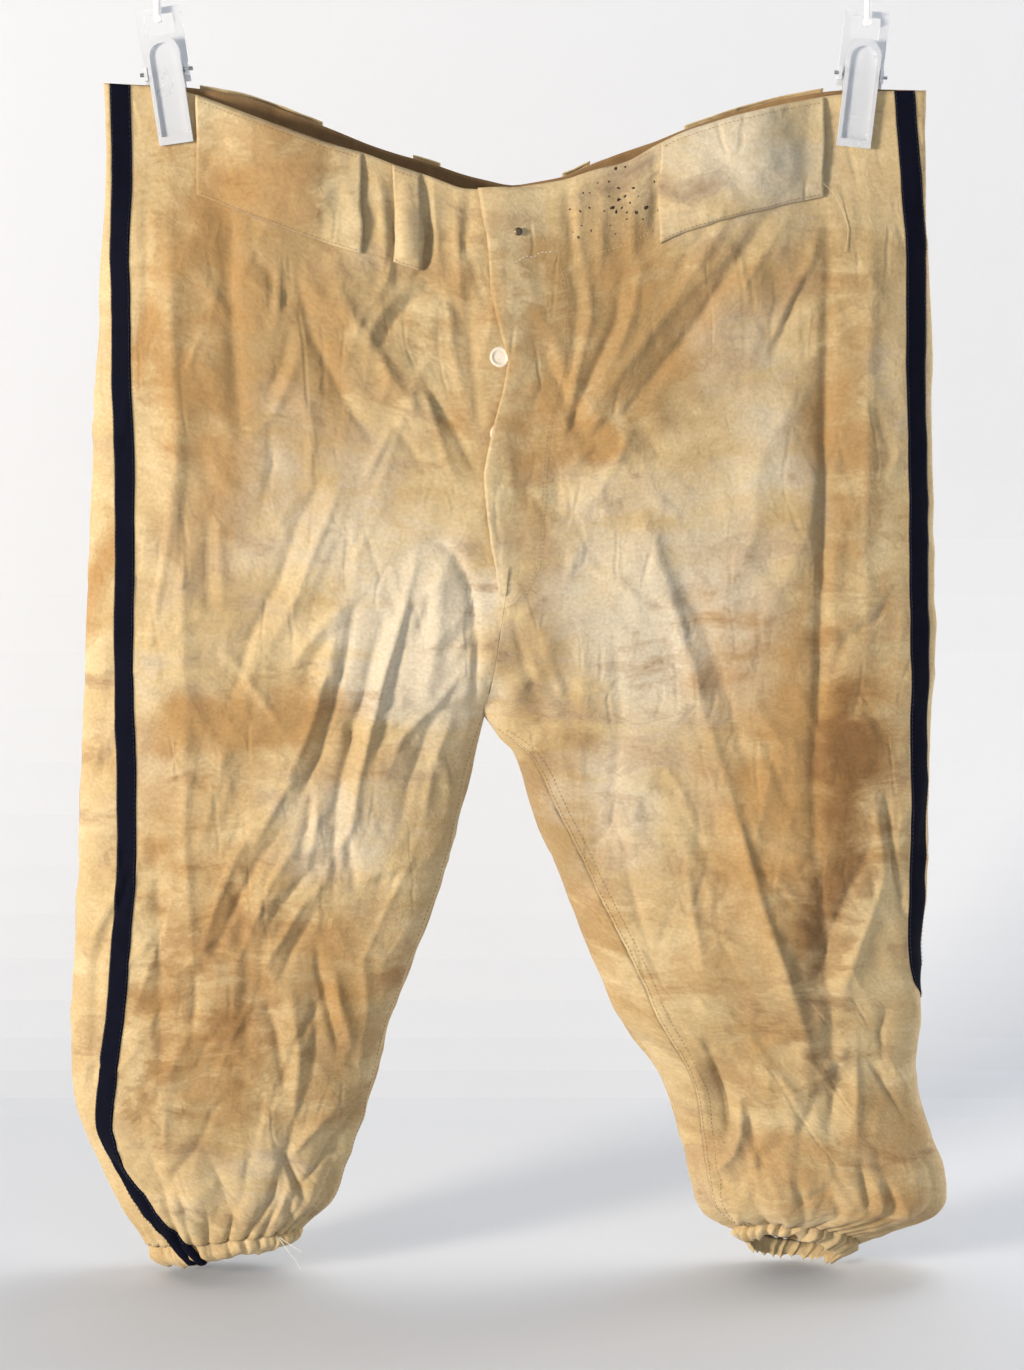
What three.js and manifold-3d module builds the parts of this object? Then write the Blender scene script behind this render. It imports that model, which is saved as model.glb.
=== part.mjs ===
// Baseball pants, knee length, hanging by the waist from a hanger with two clips.
// Millimetres, +Z up, X to the wearer's left, Y to the wearer's back.
// The origin is inside the top of the hanger's hook.
import * as THREE from 'three';
import Module from 'manifold-3d';

const wasm = await Module();
wasm.setup();

// Driving sizes
const TOP = 150; // from the hook's inside down to the top of the cloth
const CLOTH = 1.6; // wall of a panel
const THIN = 1.0; // wall of a facing and of the fly stand
const SEAM = 0.3; // between sewn pieces
const CROTCH = 397; // below the top of the cloth
const BRAID_WIDE = 12.7;
const BRAID_THICK = 1.0;
const CLIP_X = { right: -213, left: 215.5 };
const CLIP_LEAN = { right: 8, left: -6 }; // degrees
const CLIP_HALF = 3.3; // half of what the clip squeezes the waist to
const CLIP_FLAT = 24; // half width of the squeezed part
const CLIP_FADE = 44; // where the squeeze has gone
const CASING_THICK = 2.2;
const GATHERS = 30; // round each hem
const GATHER_DEEP = 1.3;
const HOOK_WIRE = 1.8; // radius
const HOOK_INSIDE = 18; // radius
const BAR_DROP = -62;
const BAR_RADIUS = 4.5;
const BAR_HALF = 231;
const FINGER = { right: 23.4, left: 25.4 }; // from the bar's axis down to the peg under a clip's top

// A table's rows as objects with named columns
const named = (columns, row) => Object.fromEntries(columns.map((name, i) => [name, row[i]]));
const table = (columns, rows) => rows.map((row) => named(columns, row));

// Waist edge, how far it sags below the clips, front and back
const WAIST = [
  { x: -253, front: 0.5, back: 0.5 },
  { x: -215, front: 3.5, back: 2.5 },
  { x: -197, front: 7, back: 3.5 },
  { x: -165, front: 19, back: 9 },
  { x: -140, front: 28, back: 18 },
  { x: -112, front: 38, back: 29 },
  { x: -90, front: 44, back: 38 },
  { x: -72, front: 51, back: 44 },
  { x: -53, front: 57, back: 49 },
  { x: -30, front: 66, back: 57 },
  { x: 0, front: 65, back: 64 },
  { x: 33, front: 60, back: 58 },
  { x: 50, front: 54, back: 50 },
  { x: 72, front: 49, back: 42 },
  { x: 88, front: 39, back: 37 },
  { x: 107, front: 30, back: 29 },
  { x: 136, front: 21, back: 19 },
  { x: 165, front: 14, back: 11 },
  { x: 192, front: 9, back: 6 },
  { x: 215, front: 6, back: 4 },
  { x: 257, front: 5, back: 5 },
];

// Sections from waist to crotch. t is the share of the way down, wrap and seat are how far front and back
// go round towards the crotch in degrees, right and left are the outlines, and the seams are the distance
// of the side seam from them, measured on the front.
const BODY = table(
  ['t', 'mid', 'front', 'back', 'wrap', 'seat', 'square', 'centre', 'right', 'left', 'rightSeam', 'leftSeam'],
  [
    [0, 0, 15, 14, 90, 90, 3.0, 0, -252.8, 256.7, 9.6, 13.4],
    [0.05, 0, 16, 15, 90, 90, 3.0, 0, -252.3, 256.7, 9.3, 11.6],
    [0.13, 0, 18, 18, 90, 90, 2.9, 0, -252.2, 256.8, 9.2, 8.5],
    [0.22, 0, 20, 20, 90, 90, 2.8, 0, -254.5, 256.9, 10.5, 6.5],
    [0.32, 0, 22, 23, 90, 90, 2.7, 0, -257, 259, 12.5, 8],
    [0.43, 0, 24, 25, 90, 90, 2.6, 0, -259.8, 262, 15.5, 10.5],
    [0.54, 0, 25, 27, 90, 90, 2.6, 0, -262, 263.6, 19, 9.5],
    [0.65, 0, 26, 29, 90, 90, 2.5, 0, -264.5, 265, 21.5, 9.5],
    [0.75, 1, 27, 30, 90, 90, 2.5, -3, -266.7, 266.3, 23, 10],
    [0.83, 2, 27, 31, 97, 92, 2.4, -7, -268.8, 267.6, 24, 10],
    [0.9, 4, 27, 31, 114, 104, 2.4, -10.5, -270.4, 268, 24.5, 9.8],
    [0.955, 8, 27, 31, 142, 132, 2.3, -14.5, -271.8, 267.8, 26, 9],
    [1, 12, 27, 31, 180, 180, 2.3, -18.6, -273, 267, 27, 8.5],
  ],
);

// Sections of a leg. out and drop are its outer fold, in and dropIn its inner fold; lift raises the front
// and lowers the back; side and inner are the seams' distances from the folds, towards the front.
const LEG_COLUMNS = ['out', 'drop', 'in', 'dropIn', 'mid', 'front', 'back', 'lift', 'side', 'inner'];
const LEGS = {
  right: table(LEG_COLUMNS, [
    [-274.7, 425, -25.5, 421, 10, 27, 30, 0, 29.5, 1],
    [-277, 463, -34, 456, 6, 27, 29, 0, 31.5, 1],
    [-279.6, 505, -45.5, 500, 2, 27, 28, 0, 33, 1],
    [-282.6, 550, -62, 546, 0, 27, 27, 0, 31.5, 1],
    [-284, 573, -71, 571, 0, 27, 27, 0, 31, 1],
    [-284.8, 595, -80, 595, 0, 28, 28, 0, 29, 1],
    [-284.6, 635, -90, 636, 0, 30, 30, 0, 24, 1],
    [-279, 667, -100, 668, 0, 32, 32, 0, 15.5, 1],
    [-268, 695, -109.5, 694, 0, 33, 33, 1, 14.5, 1],
    [-254.5, 722, -119.5, 718, 0, 32, 31, 2, 19, 1],
    [-239, 750, -141, 738, 0, 23, 22, 2.5, 24, 1],
  ]),
  left: table(LEG_COLUMNS, [
    [266.6, 425, 2.5, 425, 12, 27, 30, 0, 6.5, 9],
    [266.8, 463, 15, 463, 9, 27, 29, 0, 6.5, 16],
    [267.2, 505, 32, 505, 5, 27, 28, 0, 7, 20],
    [262.5, 550, 50.5, 550, 2, 28, 29, 0, 3.5, 24],
    [262, 572, 59.5, 572, 1, 29, 30, 0, 0.5, 25.5],
    [263.8, 595, 69.5, 595, 0, 30, 31, 0, -4, 26],
    [262, 637, 98, 635, 0, 34, 35, 1, -13, 20],
    [270, 669, 110, 668, 0, 37, 37, 3, -19, 14],
    [281.5, 702, 117, 702, 0, 38, 38, 6, -24, 11],
    [277, 729, 127, 728, 0, 36, 35, 10, -24, 9],
    [227, 748, 150, 738, 0, 25, 24, 14, -18, 8],
  ]),
};

// The hem casings, from the panels' lower edge down
const HEMS = {
  right: [
    { out: -238.6, drop: 751, in: -141.2, dropIn: 739, front: 23.5, back: 22.5, lift: 2.5 },
    { out: -237, drop: 758.5, in: -139, dropIn: 744.5, front: 26, back: 25, lift: 2.6 },
    { out: -228, drop: 766, in: -144.5, dropIn: 751, front: 22, back: 21, lift: 3 },
  ],
  left: [
    { out: 226.5, drop: 749, in: 150.5, dropIn: 739, front: 25.5, back: 24.5, lift: 14 },
    { out: 226, drop: 754.5, in: 147, dropIn: 744, front: 28, back: 27, lift: 14 },
    { out: 215, drop: 760, in: 152, dropIn: 750, front: 24, back: 23, lift: 14 },
  ],
};

// The largest folds: a line of two or three places on the front or back, its height and half width.
// A plus height stands out of the cloth and a minus height sinks into it.
const FOLDS = [
  { face: 'front', path: [[-51, 279], [-72, 328], [-95, 423]], high: 3.6, wide: 13 },
  { face: 'front', path: [[-95, 423], [-104, 499], [-112, 560]], high: 3, wide: 12 },
  { face: 'front', path: [[-98, 319], [-111, 374], [-138, 452]], high: 2.6, wide: 11 },
  { face: 'front', path: [[-76, 330], [-96, 380], [-118, 470]], high: -3, wide: 11 },
  { face: 'front', path: [[-113, 235], [-144, 295], [-177, 382]], high: 2.8, wide: 12 },
  { face: 'front', path: [[-184, 91], [-180, 164], [-192, 258]], high: -3.2, wide: 15 },
  { face: 'front', path: [[-214, 90], [-211, 296], [-223, 560]], high: 3, wide: 15 },
  { face: 'front', path: [[-154, 452], [-172, 500], [-196, 560]], high: 3, wide: 12 },
  { face: 'front', path: [[-127, 545], [-119, 590], [-112, 625]], high: 3.4, wide: 11 },
  { face: 'front', path: [[-177, 644], [-196, 668], [-223, 705]], high: 3.4, wide: 11 },
  { face: 'front', path: [[-151, 672], [-140, 700], [-143, 726]], high: -3.4, wide: 11 },
  { face: 'front', path: [[192, 78], [116, 135], [58, 215]], high: -3.4, wide: 15 },
  { face: 'front', path: [[77, 279], [100, 323], [127, 405]], high: 3.4, wide: 14 },
  { face: 'front', path: [[127, 405], [162, 527], [196, 645]], high: 4.6, wide: 15 },
  { face: 'front', path: [[204, 90], [196, 258], [191, 500]], high: -4.4, wide: 16 },
  { face: 'front', path: [[229, 90], [228, 296], [225, 470]], high: 2.8, wide: 14 },
  { face: 'front', path: [[212, 520], [218, 600], [221, 683]], high: 3.6, wide: 12 },
  { face: 'front', path: [[122, 600], [137, 640], [142, 675]], high: -5, wide: 11 },
  { face: 'front', path: [[150, 640], [156, 672], [148, 700]], high: 4, wide: 11 },
  { face: 'back', path: [[150, 90], [96, 180], [40, 260]], high: -3.2, wide: 16 },
  { face: 'back', path: [[-170, 80], [-110, 170], [-48, 262]], high: -3.2, wide: 16 },
  { face: 'back', path: [[-190, 250], [-186, 400], [-196, 560]], high: 3.6, wide: 16 },
  { face: 'back', path: [[196, 270], [190, 420], [184, 580]], high: -3.6, wide: 16 },
  { face: 'back', path: [[60, 300], [96, 390], [128, 500]], high: 3.6, wide: 14 },
  { face: 'back', path: [[-60, 320], [-84, 410], [-112, 520]], high: 3.4, wide: 14 },
  { face: 'back', path: [[130, 540], [150, 610], [158, 680]], high: 3.4, wide: 13 },
  { face: 'back', path: [[-140, 560], [-158, 620], [-172, 690]], high: 3.2, wide: 13 },
];

// Fly flap: its free edge and its sewn edge down the front
const FLAP = [
  { drop: 66, free: -21, sewn: 34 },
  { drop: 84, free: -17, sewn: 34 },
  { drop: 103, free: -14.5, sewn: 34 },
  { drop: 125, free: -13, sewn: 34 },
  { drop: 148, free: -9, sewn: 33.5 },
  { drop: 171, free: -2.5, sewn: 32 },
  { drop: 188, free: -5, sewn: 28 },
  { drop: 208, free: -11, sewn: 23 },
  { drop: 240, free: -17.5, sewn: 20.5 },
  { drop: 270, free: -16, sewn: 18.5 },
  { drop: 296, free: -11, sewn: 14 },
  { drop: 316, free: -8, sewn: 3 },
];

// Wide tunnels and narrow loops the belt passes through: place along the waist, fall below its edge, height
const TUNNELS = [
  { name: 'tunnel_front_right', face: 'front', x0: -196, x1: -93, fall: 1, tall: 62, columns: 9 },
  { name: 'tunnel_front_left', face: 'front', x0: 92, x1: 194, fall: 1, tall: 62, columns: 9 },
  { name: 'tunnel_back_right', face: 'back', x0: -194, x1: -119, fall: 1, tall: 60, columns: 7 },
  { name: 'tunnel_back_left', face: 'back', x0: 108, x1: 194, fall: 1, tall: 60, columns: 7 },
  { name: 'loop_front_right', face: 'front', x0: -74, x1: -57, fall: 1, tall: 60, columns: 3 },
  { name: 'loop_back_right', face: 'back', x0: -62, x1: -45, fall: 1, tall: 58, columns: 3 },
  { name: 'loop_back_left', face: 'back', x0: 32, x1: 49, fall: 1, tall: 58, columns: 3 },
];
const TUNNEL_BULGE = 6.6;
const TUNNEL_CLOTH = 1.2;

const group = new THREE.Group();
group.name = 'baseball_pants';

const finishes = {
  twill: new THREE.MeshStandardMaterial({ color: 0xcdb084, roughness: 0.92, metalness: 0 }),
  facing: new THREE.MeshStandardMaterial({ color: 0xa9855a, roughness: 0.94, metalness: 0 }),
  braid: new THREE.MeshStandardMaterial({ color: 0x171a2c, roughness: 0.9, metalness: 0 }),
  plastic: new THREE.MeshStandardMaterial({ color: 0xe4e8ee, roughness: 0.35, metalness: 0 }),
  button: new THREE.MeshStandardMaterial({ color: 0xe6dcc4, roughness: 0.3, metalness: 0 }),
  steel: new THREE.MeshStandardMaterial({ color: 0x9aa0a6, roughness: 0.35, metalness: 1 }),
};

const clamp = (v, a, b) => Math.min(b, Math.max(a, v));
const smooth = (v) => { const c = clamp(v, 0, 1); return c * c * (3 - 2 * c); };
const mix = (a, b, f) => a + (b - a) * f;
const power = (v, p) => Math.sign(v) * Math.pow(Math.abs(v), p);

// A value from a table by a rising column, on straight lines
function lookup(table, key, at, column) {
  const last = table.length - 1;
  if (at <= table[0][key]) return table[0][column];
  if (at >= table[last][key]) return table[last][column];
  let i = 0;
  while (table[i + 1][key] < at) i++;
  const f = (at - table[i][key]) / (table[i + 1][key] - table[i][key]);
  return mix(table[i][column], table[i + 1][column], f);
}

const sag = (face, x) => lookup(WAIST, 'x', x, face);

// All sections of one side, waist to hem, with the same columns
function sectionsOf(side) {
  const rows = BODY.map((b) => ({
    out: b[side], in: b.centre, fade: 1 - b.t, mid: b.mid, front: b.front, back: b.back,
    drop: mix(sag('front', b[side]), CROTCH, b.t), dropIn: mix(sag('front', b.centre), CROTCH, b.t),
    wrap: b.wrap, seat: b.seat, square: b.square, lift: 0, side: b[side + 'Seam'], inner: 0, folded: 0,
  }));
  const legs = LEGS[side].map((l) => ({ fade: 0, wrap: 180, seat: 180, square: 2.25, ...l }));
  const all = rows.concat(legs);
  all.forEach((s) => { s.folded = smooth((s.wrap - 100) / 60); });
  return all;
}
const SECTIONS = { right: sectionsOf('right'), left: sectionsOf('left') };
const LAST = SECTIONS.right.length - 1;
const CROTCH_ROW = BODY.length - 1;

// A section between two rows, on straight lines
function sectionAt(side, row) {
  const list = SECTIONS[side];
  const i = clamp(Math.floor(row), 0, LAST - 1);
  const f = row - i;
  const made = {};
  for (const key of Object.keys(list[i])) made[key] = mix(list[i][key], list[i + 1][key], f);
  return made;
}

// Height of the folds at one place of the front or the back
function foldsAt(face, x, drop) {
  let high = 0;
  for (const fold of FOLDS) {
    if (fold.face !== face) continue;
    let best = 1e9;
    let along = 0;
    const n = fold.path.length - 1;
    for (let i = 0; i < n; i++) {
      const [ax, ay] = fold.path[i];
      const [bx, by] = fold.path[i + 1];
      const run = (bx - ax) ** 2 + (by - ay) ** 2;
      const f = clamp(((x - ax) * (bx - ax) + (drop - ay) * (by - ay)) / run, 0, 1);
      const d = Math.hypot(x - mix(ax, bx, f), drop - mix(ay, by, f));
      if (d < best) {
        best = d;
        along = (i + f) / n;
      }
    }
    const ends = Math.pow(Math.sin(Math.PI * clamp(along, 0.02, 0.98)), 0.5);
    high += fold.high * ends * Math.exp(-((best / fold.wide) ** 2));
  }
  return high;
}

// The outer face of the cloth at a share of the way round: 1 is the front's inner end, 0 the outer fold
// and -1 the back's inner end.
function placeAt(side, row, share, s = sectionAt(side, row)) {
  const sign = side === 'right' ? -1 : 1;
  const face = share >= 0 ? 'front' : 'back';
  const angle = (face === 'front' ? s.wrap : s.seat) * Math.PI / 180;
  const inner = s.in + sign * SEAM / 2;
  const end = power(Math.cos(angle), 2 / s.square);
  const width = (s.out - inner) / (1 - end);
  const turn = Math.abs(share) * angle;
  const x = s.out - width + width * power(Math.cos(turn), 2 / s.square);
  const across = clamp((x - s.out) / (inner - s.out), 0, 1);
  const full = Math.pow(Math.abs(Math.sin(turn)), 2 / s.square);
  const drop0 = mix(s.drop, s.dropIn, across);
  const bow = sag(face, x) - mix(sag('front', s.out), sag('front', s.in), across);
  const drop = drop0 + s.fade * bow;
  let half = full * (face === 'front' ? s.front : s.back);
  const clipX = Math.abs(x - CLIP_X[side]);
  const squeeze = (1 - smooth((clipX - CLIP_FLAT) / CLIP_FADE)) * (1 - smooth((drop - 42) / 70));
  if (half > CLIP_HALF) half -= squeeze * (half - CLIP_HALF);
  const below = smooth((drop - sag(face, x) - 66) / 40);
  half += foldsAt(face, x, drop) * smooth((full - 0.35) / 0.45) * (1 - squeeze) * below;
  const middle = s.mid * smooth(across);
  const way = face === 'front' ? -1 : 1;
  return new THREE.Vector3(x, middle + way * half, -TOP - drop - way * s.lift * full);
}

// Place and outward direction
function skinAt(side, row, share) {
  const dr = 0.04;
  const ds = 0.004;
  const r0 = clamp(row - dr, 0, LAST);
  const r1 = clamp(row + dr, 0, LAST);
  const s0 = clamp(share - ds, -1, 1);
  const s1 = clamp(share + ds, -1, 1);
  const down = placeAt(side, r1, share).sub(placeAt(side, r0, share));
  const round = placeAt(side, row, s1).sub(placeAt(side, row, s0));
  const out = new THREE.Vector3().crossVectors(down, round).normalize();
  if (side === 'left') out.negate();
  return { place: placeAt(side, row, share), out };
}

// One dense ring: lengths along it from the front's inner end, the folds and the shares
const RING_STEPS = 360;
function ringAt(side, row) {
  const s = sectionAt(side, row);
  const ring = { length: [0], share: [1], foldLength: 0, points: [placeAt(side, row, 1, s)], s };
  for (let i = 1; i <= RING_STEPS; i++) {
    const share = 1 - 2 * i / RING_STEPS;
    const p = placeAt(side, row, share, s);
    ring.points.push(p);
    ring.length.push(ring.length[i - 1] + p.distanceTo(ring.points[i - 1]));
    ring.share.push(share);
  }
  ring.foldLength = ring.length[RING_STEPS / 2];
  ring.total = ring.length[RING_STEPS];
  return ring;
}
function shareAtLength(ring, length) {
  let lo = 0;
  let hi = RING_STEPS;
  while (hi - lo > 1) {
    const m = (lo + hi) >> 1;
    if (ring.length[m] < length) lo = m; else hi = m;
  }
  const f = clamp((length - ring.length[lo]) / (ring.length[hi] - ring.length[lo] || 1), 0, 1);
  return mix(ring.share[lo], ring.share[hi], f);
}
// Length at which the front (or the back, for a minus distance) is that far from a fold
function lengthOfSeam(ring, fold, distance) {
  const x = fold === 'outer' ? ring.s.out : ring.s.in;
  const start = fold === 'outer' ? RING_STEPS / 2 : (distance >= 0 ? 0 : RING_STEPS);
  const step = fold === 'outer' ? (distance >= 0 ? -1 : 1) : (distance >= 0 ? 1 : -1);
  let i = start;
  const away = Math.abs(distance);
  while (Math.abs(ring.points[i].x - x) < away && i + step >= 0 && i + step <= RING_STEPS) i += step;
  return ring.length[i];
}
function seamsOf(ring) {
  const side = lengthOfSeam(ring, 'outer', ring.s.side);
  const inner = lengthOfSeam(ring, 'inner', ring.s.inner) * smooth(ring.s.folded);
  return { side, inner };
}
// Shares of a panel's columns, closer together at the folds; past the inner fold they go on along the front
function columnsOf(ring, from, to, count, pull) {
  const weight = [0];
  const steps = 400;
  const at = (i) => mix(from, to, i / steps);
  for (let i = 1; i <= steps; i++) {
    const l = at(i - 0.5);
    const outer = Math.exp(-(((l - ring.foldLength) / 7) ** 2)) * 5;
    const inner = Math.exp(-((Math.min(l, Math.abs(ring.total - l)) / 7) ** 2)) * 4 * pull;
    weight.push(weight[i - 1] + 1 + outer + inner);
  }
  const shares = [];
  let i = 0;
  for (let c = 0; c < count; c++) {
    const want = weight[steps] * c / (count - 1);
    while (i < steps - 1 && weight[i + 1] < want) i++;
    const f = clamp((want - weight[i]) / (weight[i + 1] - weight[i]), 0, 1);
    const l = at(i + f);
    shares.push(shareAtLength(ring, l > ring.total ? l - ring.total : l));
  }
  return shares;
}

// A closed wall from a grid of places and outward directions, between two distances from them
function wallFrom(grid, near, far, round = false) {
  const rows = grid.length;
  const cols = grid[0].length;
  const points = [];
  const faces = [];
  const offset = (cell, d) => cell.place.clone().addScaledVector(cell.out, d);
  const distance = (d, r, c) => (typeof d === 'function' ? d(r, c) : d);
  for (const d of [far, near]) {
    for (let r = 0; r < rows; r++) {
      for (let c = 0; c < cols; c++) {
        const p = offset(grid[r][c], distance(d, r, c));
        points.push(p.x, p.y, p.z);
      }
    }
  }
  const id = (layer, r, c) => layer * rows * cols + r * cols + ((c + cols) % cols);
  const quad = (a, b, c, d) => faces.push(a, b, c, a, c, d);
  const spans = round ? cols : cols - 1;
  for (let r = 0; r < rows - 1; r++) {
    for (let c = 0; c < spans; c++) {
      quad(id(0, r, c), id(0, r + 1, c), id(0, r + 1, c + 1), id(0, r, c + 1));
      quad(id(1, r, c), id(1, r, c + 1), id(1, r + 1, c + 1), id(1, r + 1, c));
    }
  }
  for (let c = 0; c < spans; c++) {
    quad(id(0, 0, c), id(0, 0, c + 1), id(1, 0, c + 1), id(1, 0, c));
    quad(id(0, rows - 1, c), id(1, rows - 1, c), id(1, rows - 1, c + 1), id(0, rows - 1, c + 1));
  }
  if (!round) {
    for (let r = 0; r < rows - 1; r++) {
      quad(id(0, r, 0), id(1, r, 0), id(1, r + 1, 0), id(0, r + 1, 0));
      quad(id(0, r, cols - 1), id(0, r + 1, cols - 1), id(1, r + 1, cols - 1), id(1, r, cols - 1));
    }
  }
  const geometry = new THREE.BufferGeometry();
  geometry.setAttribute('position', new THREE.Float32BufferAttribute(points, 3));
  geometry.setIndex(faces);
  return outward(geometry);
}
// Turns the faces out if the volume comes out negative
function outward(geometry) {
  const p = geometry.getAttribute('position');
  const index = Array.from(geometry.getIndex().array);
  let volume = 0;
  const a = new THREE.Vector3();
  const b = new THREE.Vector3();
  const c = new THREE.Vector3();
  for (let i = 0; i < index.length; i += 3) {
    a.fromBufferAttribute(p, index[i]);
    b.fromBufferAttribute(p, index[i + 1]);
    c.fromBufferAttribute(p, index[i + 2]);
    volume += a.dot(b.cross(c));
  }
  if (volume < 0) {
    for (let i = 0; i < index.length; i += 3) [index[i + 1], index[i + 2]] = [index[i + 2], index[i + 1]];
    geometry.setIndex(index);
  }
  geometry.computeVertexNormals();
  return geometry;
}
function add(name, geometry, material) {
  const mesh = new THREE.Mesh(geometry, material);
  mesh.name = name;
  group.add(mesh);
}

// Panels, each an arc of every ring between two seams
const FRONT_COLUMNS = 15;
const BACK_COLUMNS = 19;
const rings = { right: [], left: [] };
for (const side of ['right', 'left']) {
  for (let row = 0; row <= LAST; row++) rings[side].push(ringAt(side, row));
}
function panelShares(side, row, face) {
  const ring = rings[side][row];
  const seams = seamsOf(ring);
  const trim = SEAM / 2;
  const inset = row >= CROTCH_ROW ? trim : 0;
  const folded = ring.s.folded;
  if (face === 'front') return columnsOf(ring, seams.inner + inset, seams.side - trim, FRONT_COLUMNS, folded);
  // where the inner seam lies on the front, the back panel goes on past the inner fold to meet it
  const past = seams.inner >= 0.5;
  const end = ring.total + (past ? seams.inner - trim : Math.min(seams.inner, 0) - inset);
  return columnsOf(ring, seams.side + trim, end, BACK_COLUMNS, past ? 1 : folded);
}
function panelGrid(side, face) {
  const grid = [];
  for (let row = 0; row <= LAST; row++) {
    grid.push(panelShares(side, row, face).map((share) => skinAt(side, row, share)));
  }
  return grid;
}
const grids = {};
for (const side of ['right', 'left']) {
  for (const face of ['front', 'back']) {
    const grid = panelGrid(side, face);
    grids[face + side] = grid;
    add(face + '_' + side, wallFrom(grid, -CLOTH, 0), finishes.twill);
    const top = grid.slice(0, 3);
    add('facing_' + face + '_' + side, wallFrom(top, -CLOTH - SEAM - THIN, -CLOTH - SEAM), finishes.facing);
  }
}

// Navy braid over each side seam
for (const side of ['right', 'left']) {
  const grid = [];
  for (let row = 0; row <= LAST; row++) {
    const ring = rings[side][row];
    const seam = seamsOf(ring).side;
    const cells = [];
    for (let c = 0; c < 6; c++) {
      const length = seam + (c / 5 - 0.5) * BRAID_WIDE;
      cells.push(skinAt(side, row, shareAtLength(ring, length)));
    }
    grid.push(cells);
  }
  // it stands off a little more where it turns the folds near the hem
  const under = (r) => SEAM + (r > CROTCH_ROW + 2 && side === 'left' ? 1.1 : 0.25);
  add('braid_' + side, wallFrom(grid, under, (r) => under(r) + BRAID_THICK), finishes.braid);
}

// Gathered hem casings
for (const side of ['right', 'left']) {
  const sign = side === 'right' ? -1 : 1;
  const grid = [];
  const count = GATHERS * 4;
  HEMS[side].forEach((hem) => {
    const cells = [];
    for (let c = 0; c < count; c++) {
      const turn = 2 * Math.PI * c / count;
      const width = (hem.out - hem.in) / 2;
      const cx = (hem.out + hem.in) / 2;
      const depth = Math.sin(turn) > 0 ? hem.front : hem.back;
      const x = cx + width * power(Math.cos(turn), 0.95);
      const y = -depth * power(Math.sin(turn), 0.95);
      const across = (x - hem.out) / (hem.in - hem.out);
      const drop = mix(hem.drop, hem.dropIn, across);
      const z = -TOP - drop + hem.lift * power(Math.sin(turn), 0.95);
      const out = new THREE.Vector3(sign * Math.cos(turn) * depth, -Math.sin(turn) * Math.abs(width), 0);
      out.normalize();
      cells.push({ place: new THREE.Vector3(x, y, z), out });
    }
    grid.push(cells);
  });
  const wave = (r, c) => GATHER_DEEP * [0.3, 1, 0.9][r] * Math.sin(Math.PI * c / 2 + 0.6);
  const near = (r, c) => wave(r, c) - CASING_THICK;
  add('casing_' + side, wallFrom(grid, near, wave, true), finishes.twill);
}

// The cloth's face at a place across the front or back and a fall below the clips
function faceAt(face, x, drop) {
  let lo = 0;
  let hi = CROTCH_ROW;
  let side = 'right';
  let share = 0;
  for (let i = 0; i < 22; i++) {
    const row = (lo + hi) / 2;
    const centre = sectionAt('right', row).in;
    side = x < centre ? 'right' : 'left';
    share = shareOfX(side, row, face, x);
    if (-TOP - placeAt(side, row, share).z < drop) lo = row; else hi = row;
  }
  return placeAt(side, (lo + hi) / 2, share);
}
function shareOfX(side, row, face, x) {
  const s = sectionAt(side, row);
  const sign = side === 'right' ? -1 : 1;
  const angle = (face === 'front' ? s.wrap : s.seat) * Math.PI / 180;
  const end = power(Math.cos(angle), 2 / s.square);
  const width = (s.out - s.in - sign * SEAM / 2) / (1 - end);
  const c = clamp((x - s.out + width) / width, end, 1);
  const turn = Math.acos(clamp(power(c, s.square / 2), -1, 1));
  return (face === 'front' ? 1 : -1) * turn / angle;
}
// The same place moved onto the panel's own flat facets
const caster = new THREE.Raycaster();
function onFacets(cell, face) {
  const from = cell.place.clone().addScaledVector(cell.out, 12);
  caster.set(from, cell.out.clone().negate());
  const panels = group.children.filter((m) => m.name.startsWith(face + '_'));
  const hits = caster.intersectObjects(panels, false);
  if (hits.length && hits[0].distance < 16) cell.place.copy(hits[0].point);
  return cell;
}
function cellAt(face, x, drop) {
  const across = faceAt(face, x + 1, drop).sub(faceAt(face, x - 1, drop));
  const down = faceAt(face, x, drop + 1).sub(faceAt(face, x, drop - 1));
  const out = new THREE.Vector3().crossVectors(across, down).normalize();
  if ((face === 'front') !== (out.y < 0)) out.negate();
  return onFacets({ place: faceAt(face, x, drop), out }, face);
}

// Belt tunnels and loops, sewn at top and bottom and open at both ends
for (const t of TUNNELS) {
  const grid = [];
  const rows = 7;
  for (let r = 0; r < rows; r++) {
    const cells = [];
    for (let c = 0; c < t.columns; c++) {
      const x = mix(t.x0, t.x1, c / (t.columns - 1));
      const drop = sag(t.face, x) + t.fall + t.tall * r / (rows - 1);
      cells.push(cellAt(t.face, x, Math.max(drop, sag(t.face, x) + 1.2)));
    }
    grid.push(cells);
  }
  const rise = (r) => 3 * SEAM + TUNNEL_BULGE * Math.pow(Math.sin(Math.PI * r / (rows - 1)), 0.6);
  const far = (r) => rise(r) + TUNNEL_CLOTH;
  add(t.name, wallFrom(grid, rise, far), finishes.twill);
}

// Fly: the flap over the left front, with its free edge standing over the buttons
const FLAP_LIFT = 3.9;
const flapGrid = FLAP.map((row) => {
  const cells = [];
  for (let c = 0; c < 7; c++) cells.push(cellAt('front', mix(row.free, row.sewn, c / 6), row.drop));
  return cells;
});
const flapRise = (r, c) => SEAM + 0.3 + FLAP_LIFT * (1 - smooth((c - 1.2) / 4)) * (r > 9 ? (12 - r) / 3 : 1);
add('fly_flap', wallFrom(flapGrid, flapRise, (r, c) => flapRise(r, c) + 1.2), finishes.twill);

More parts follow.
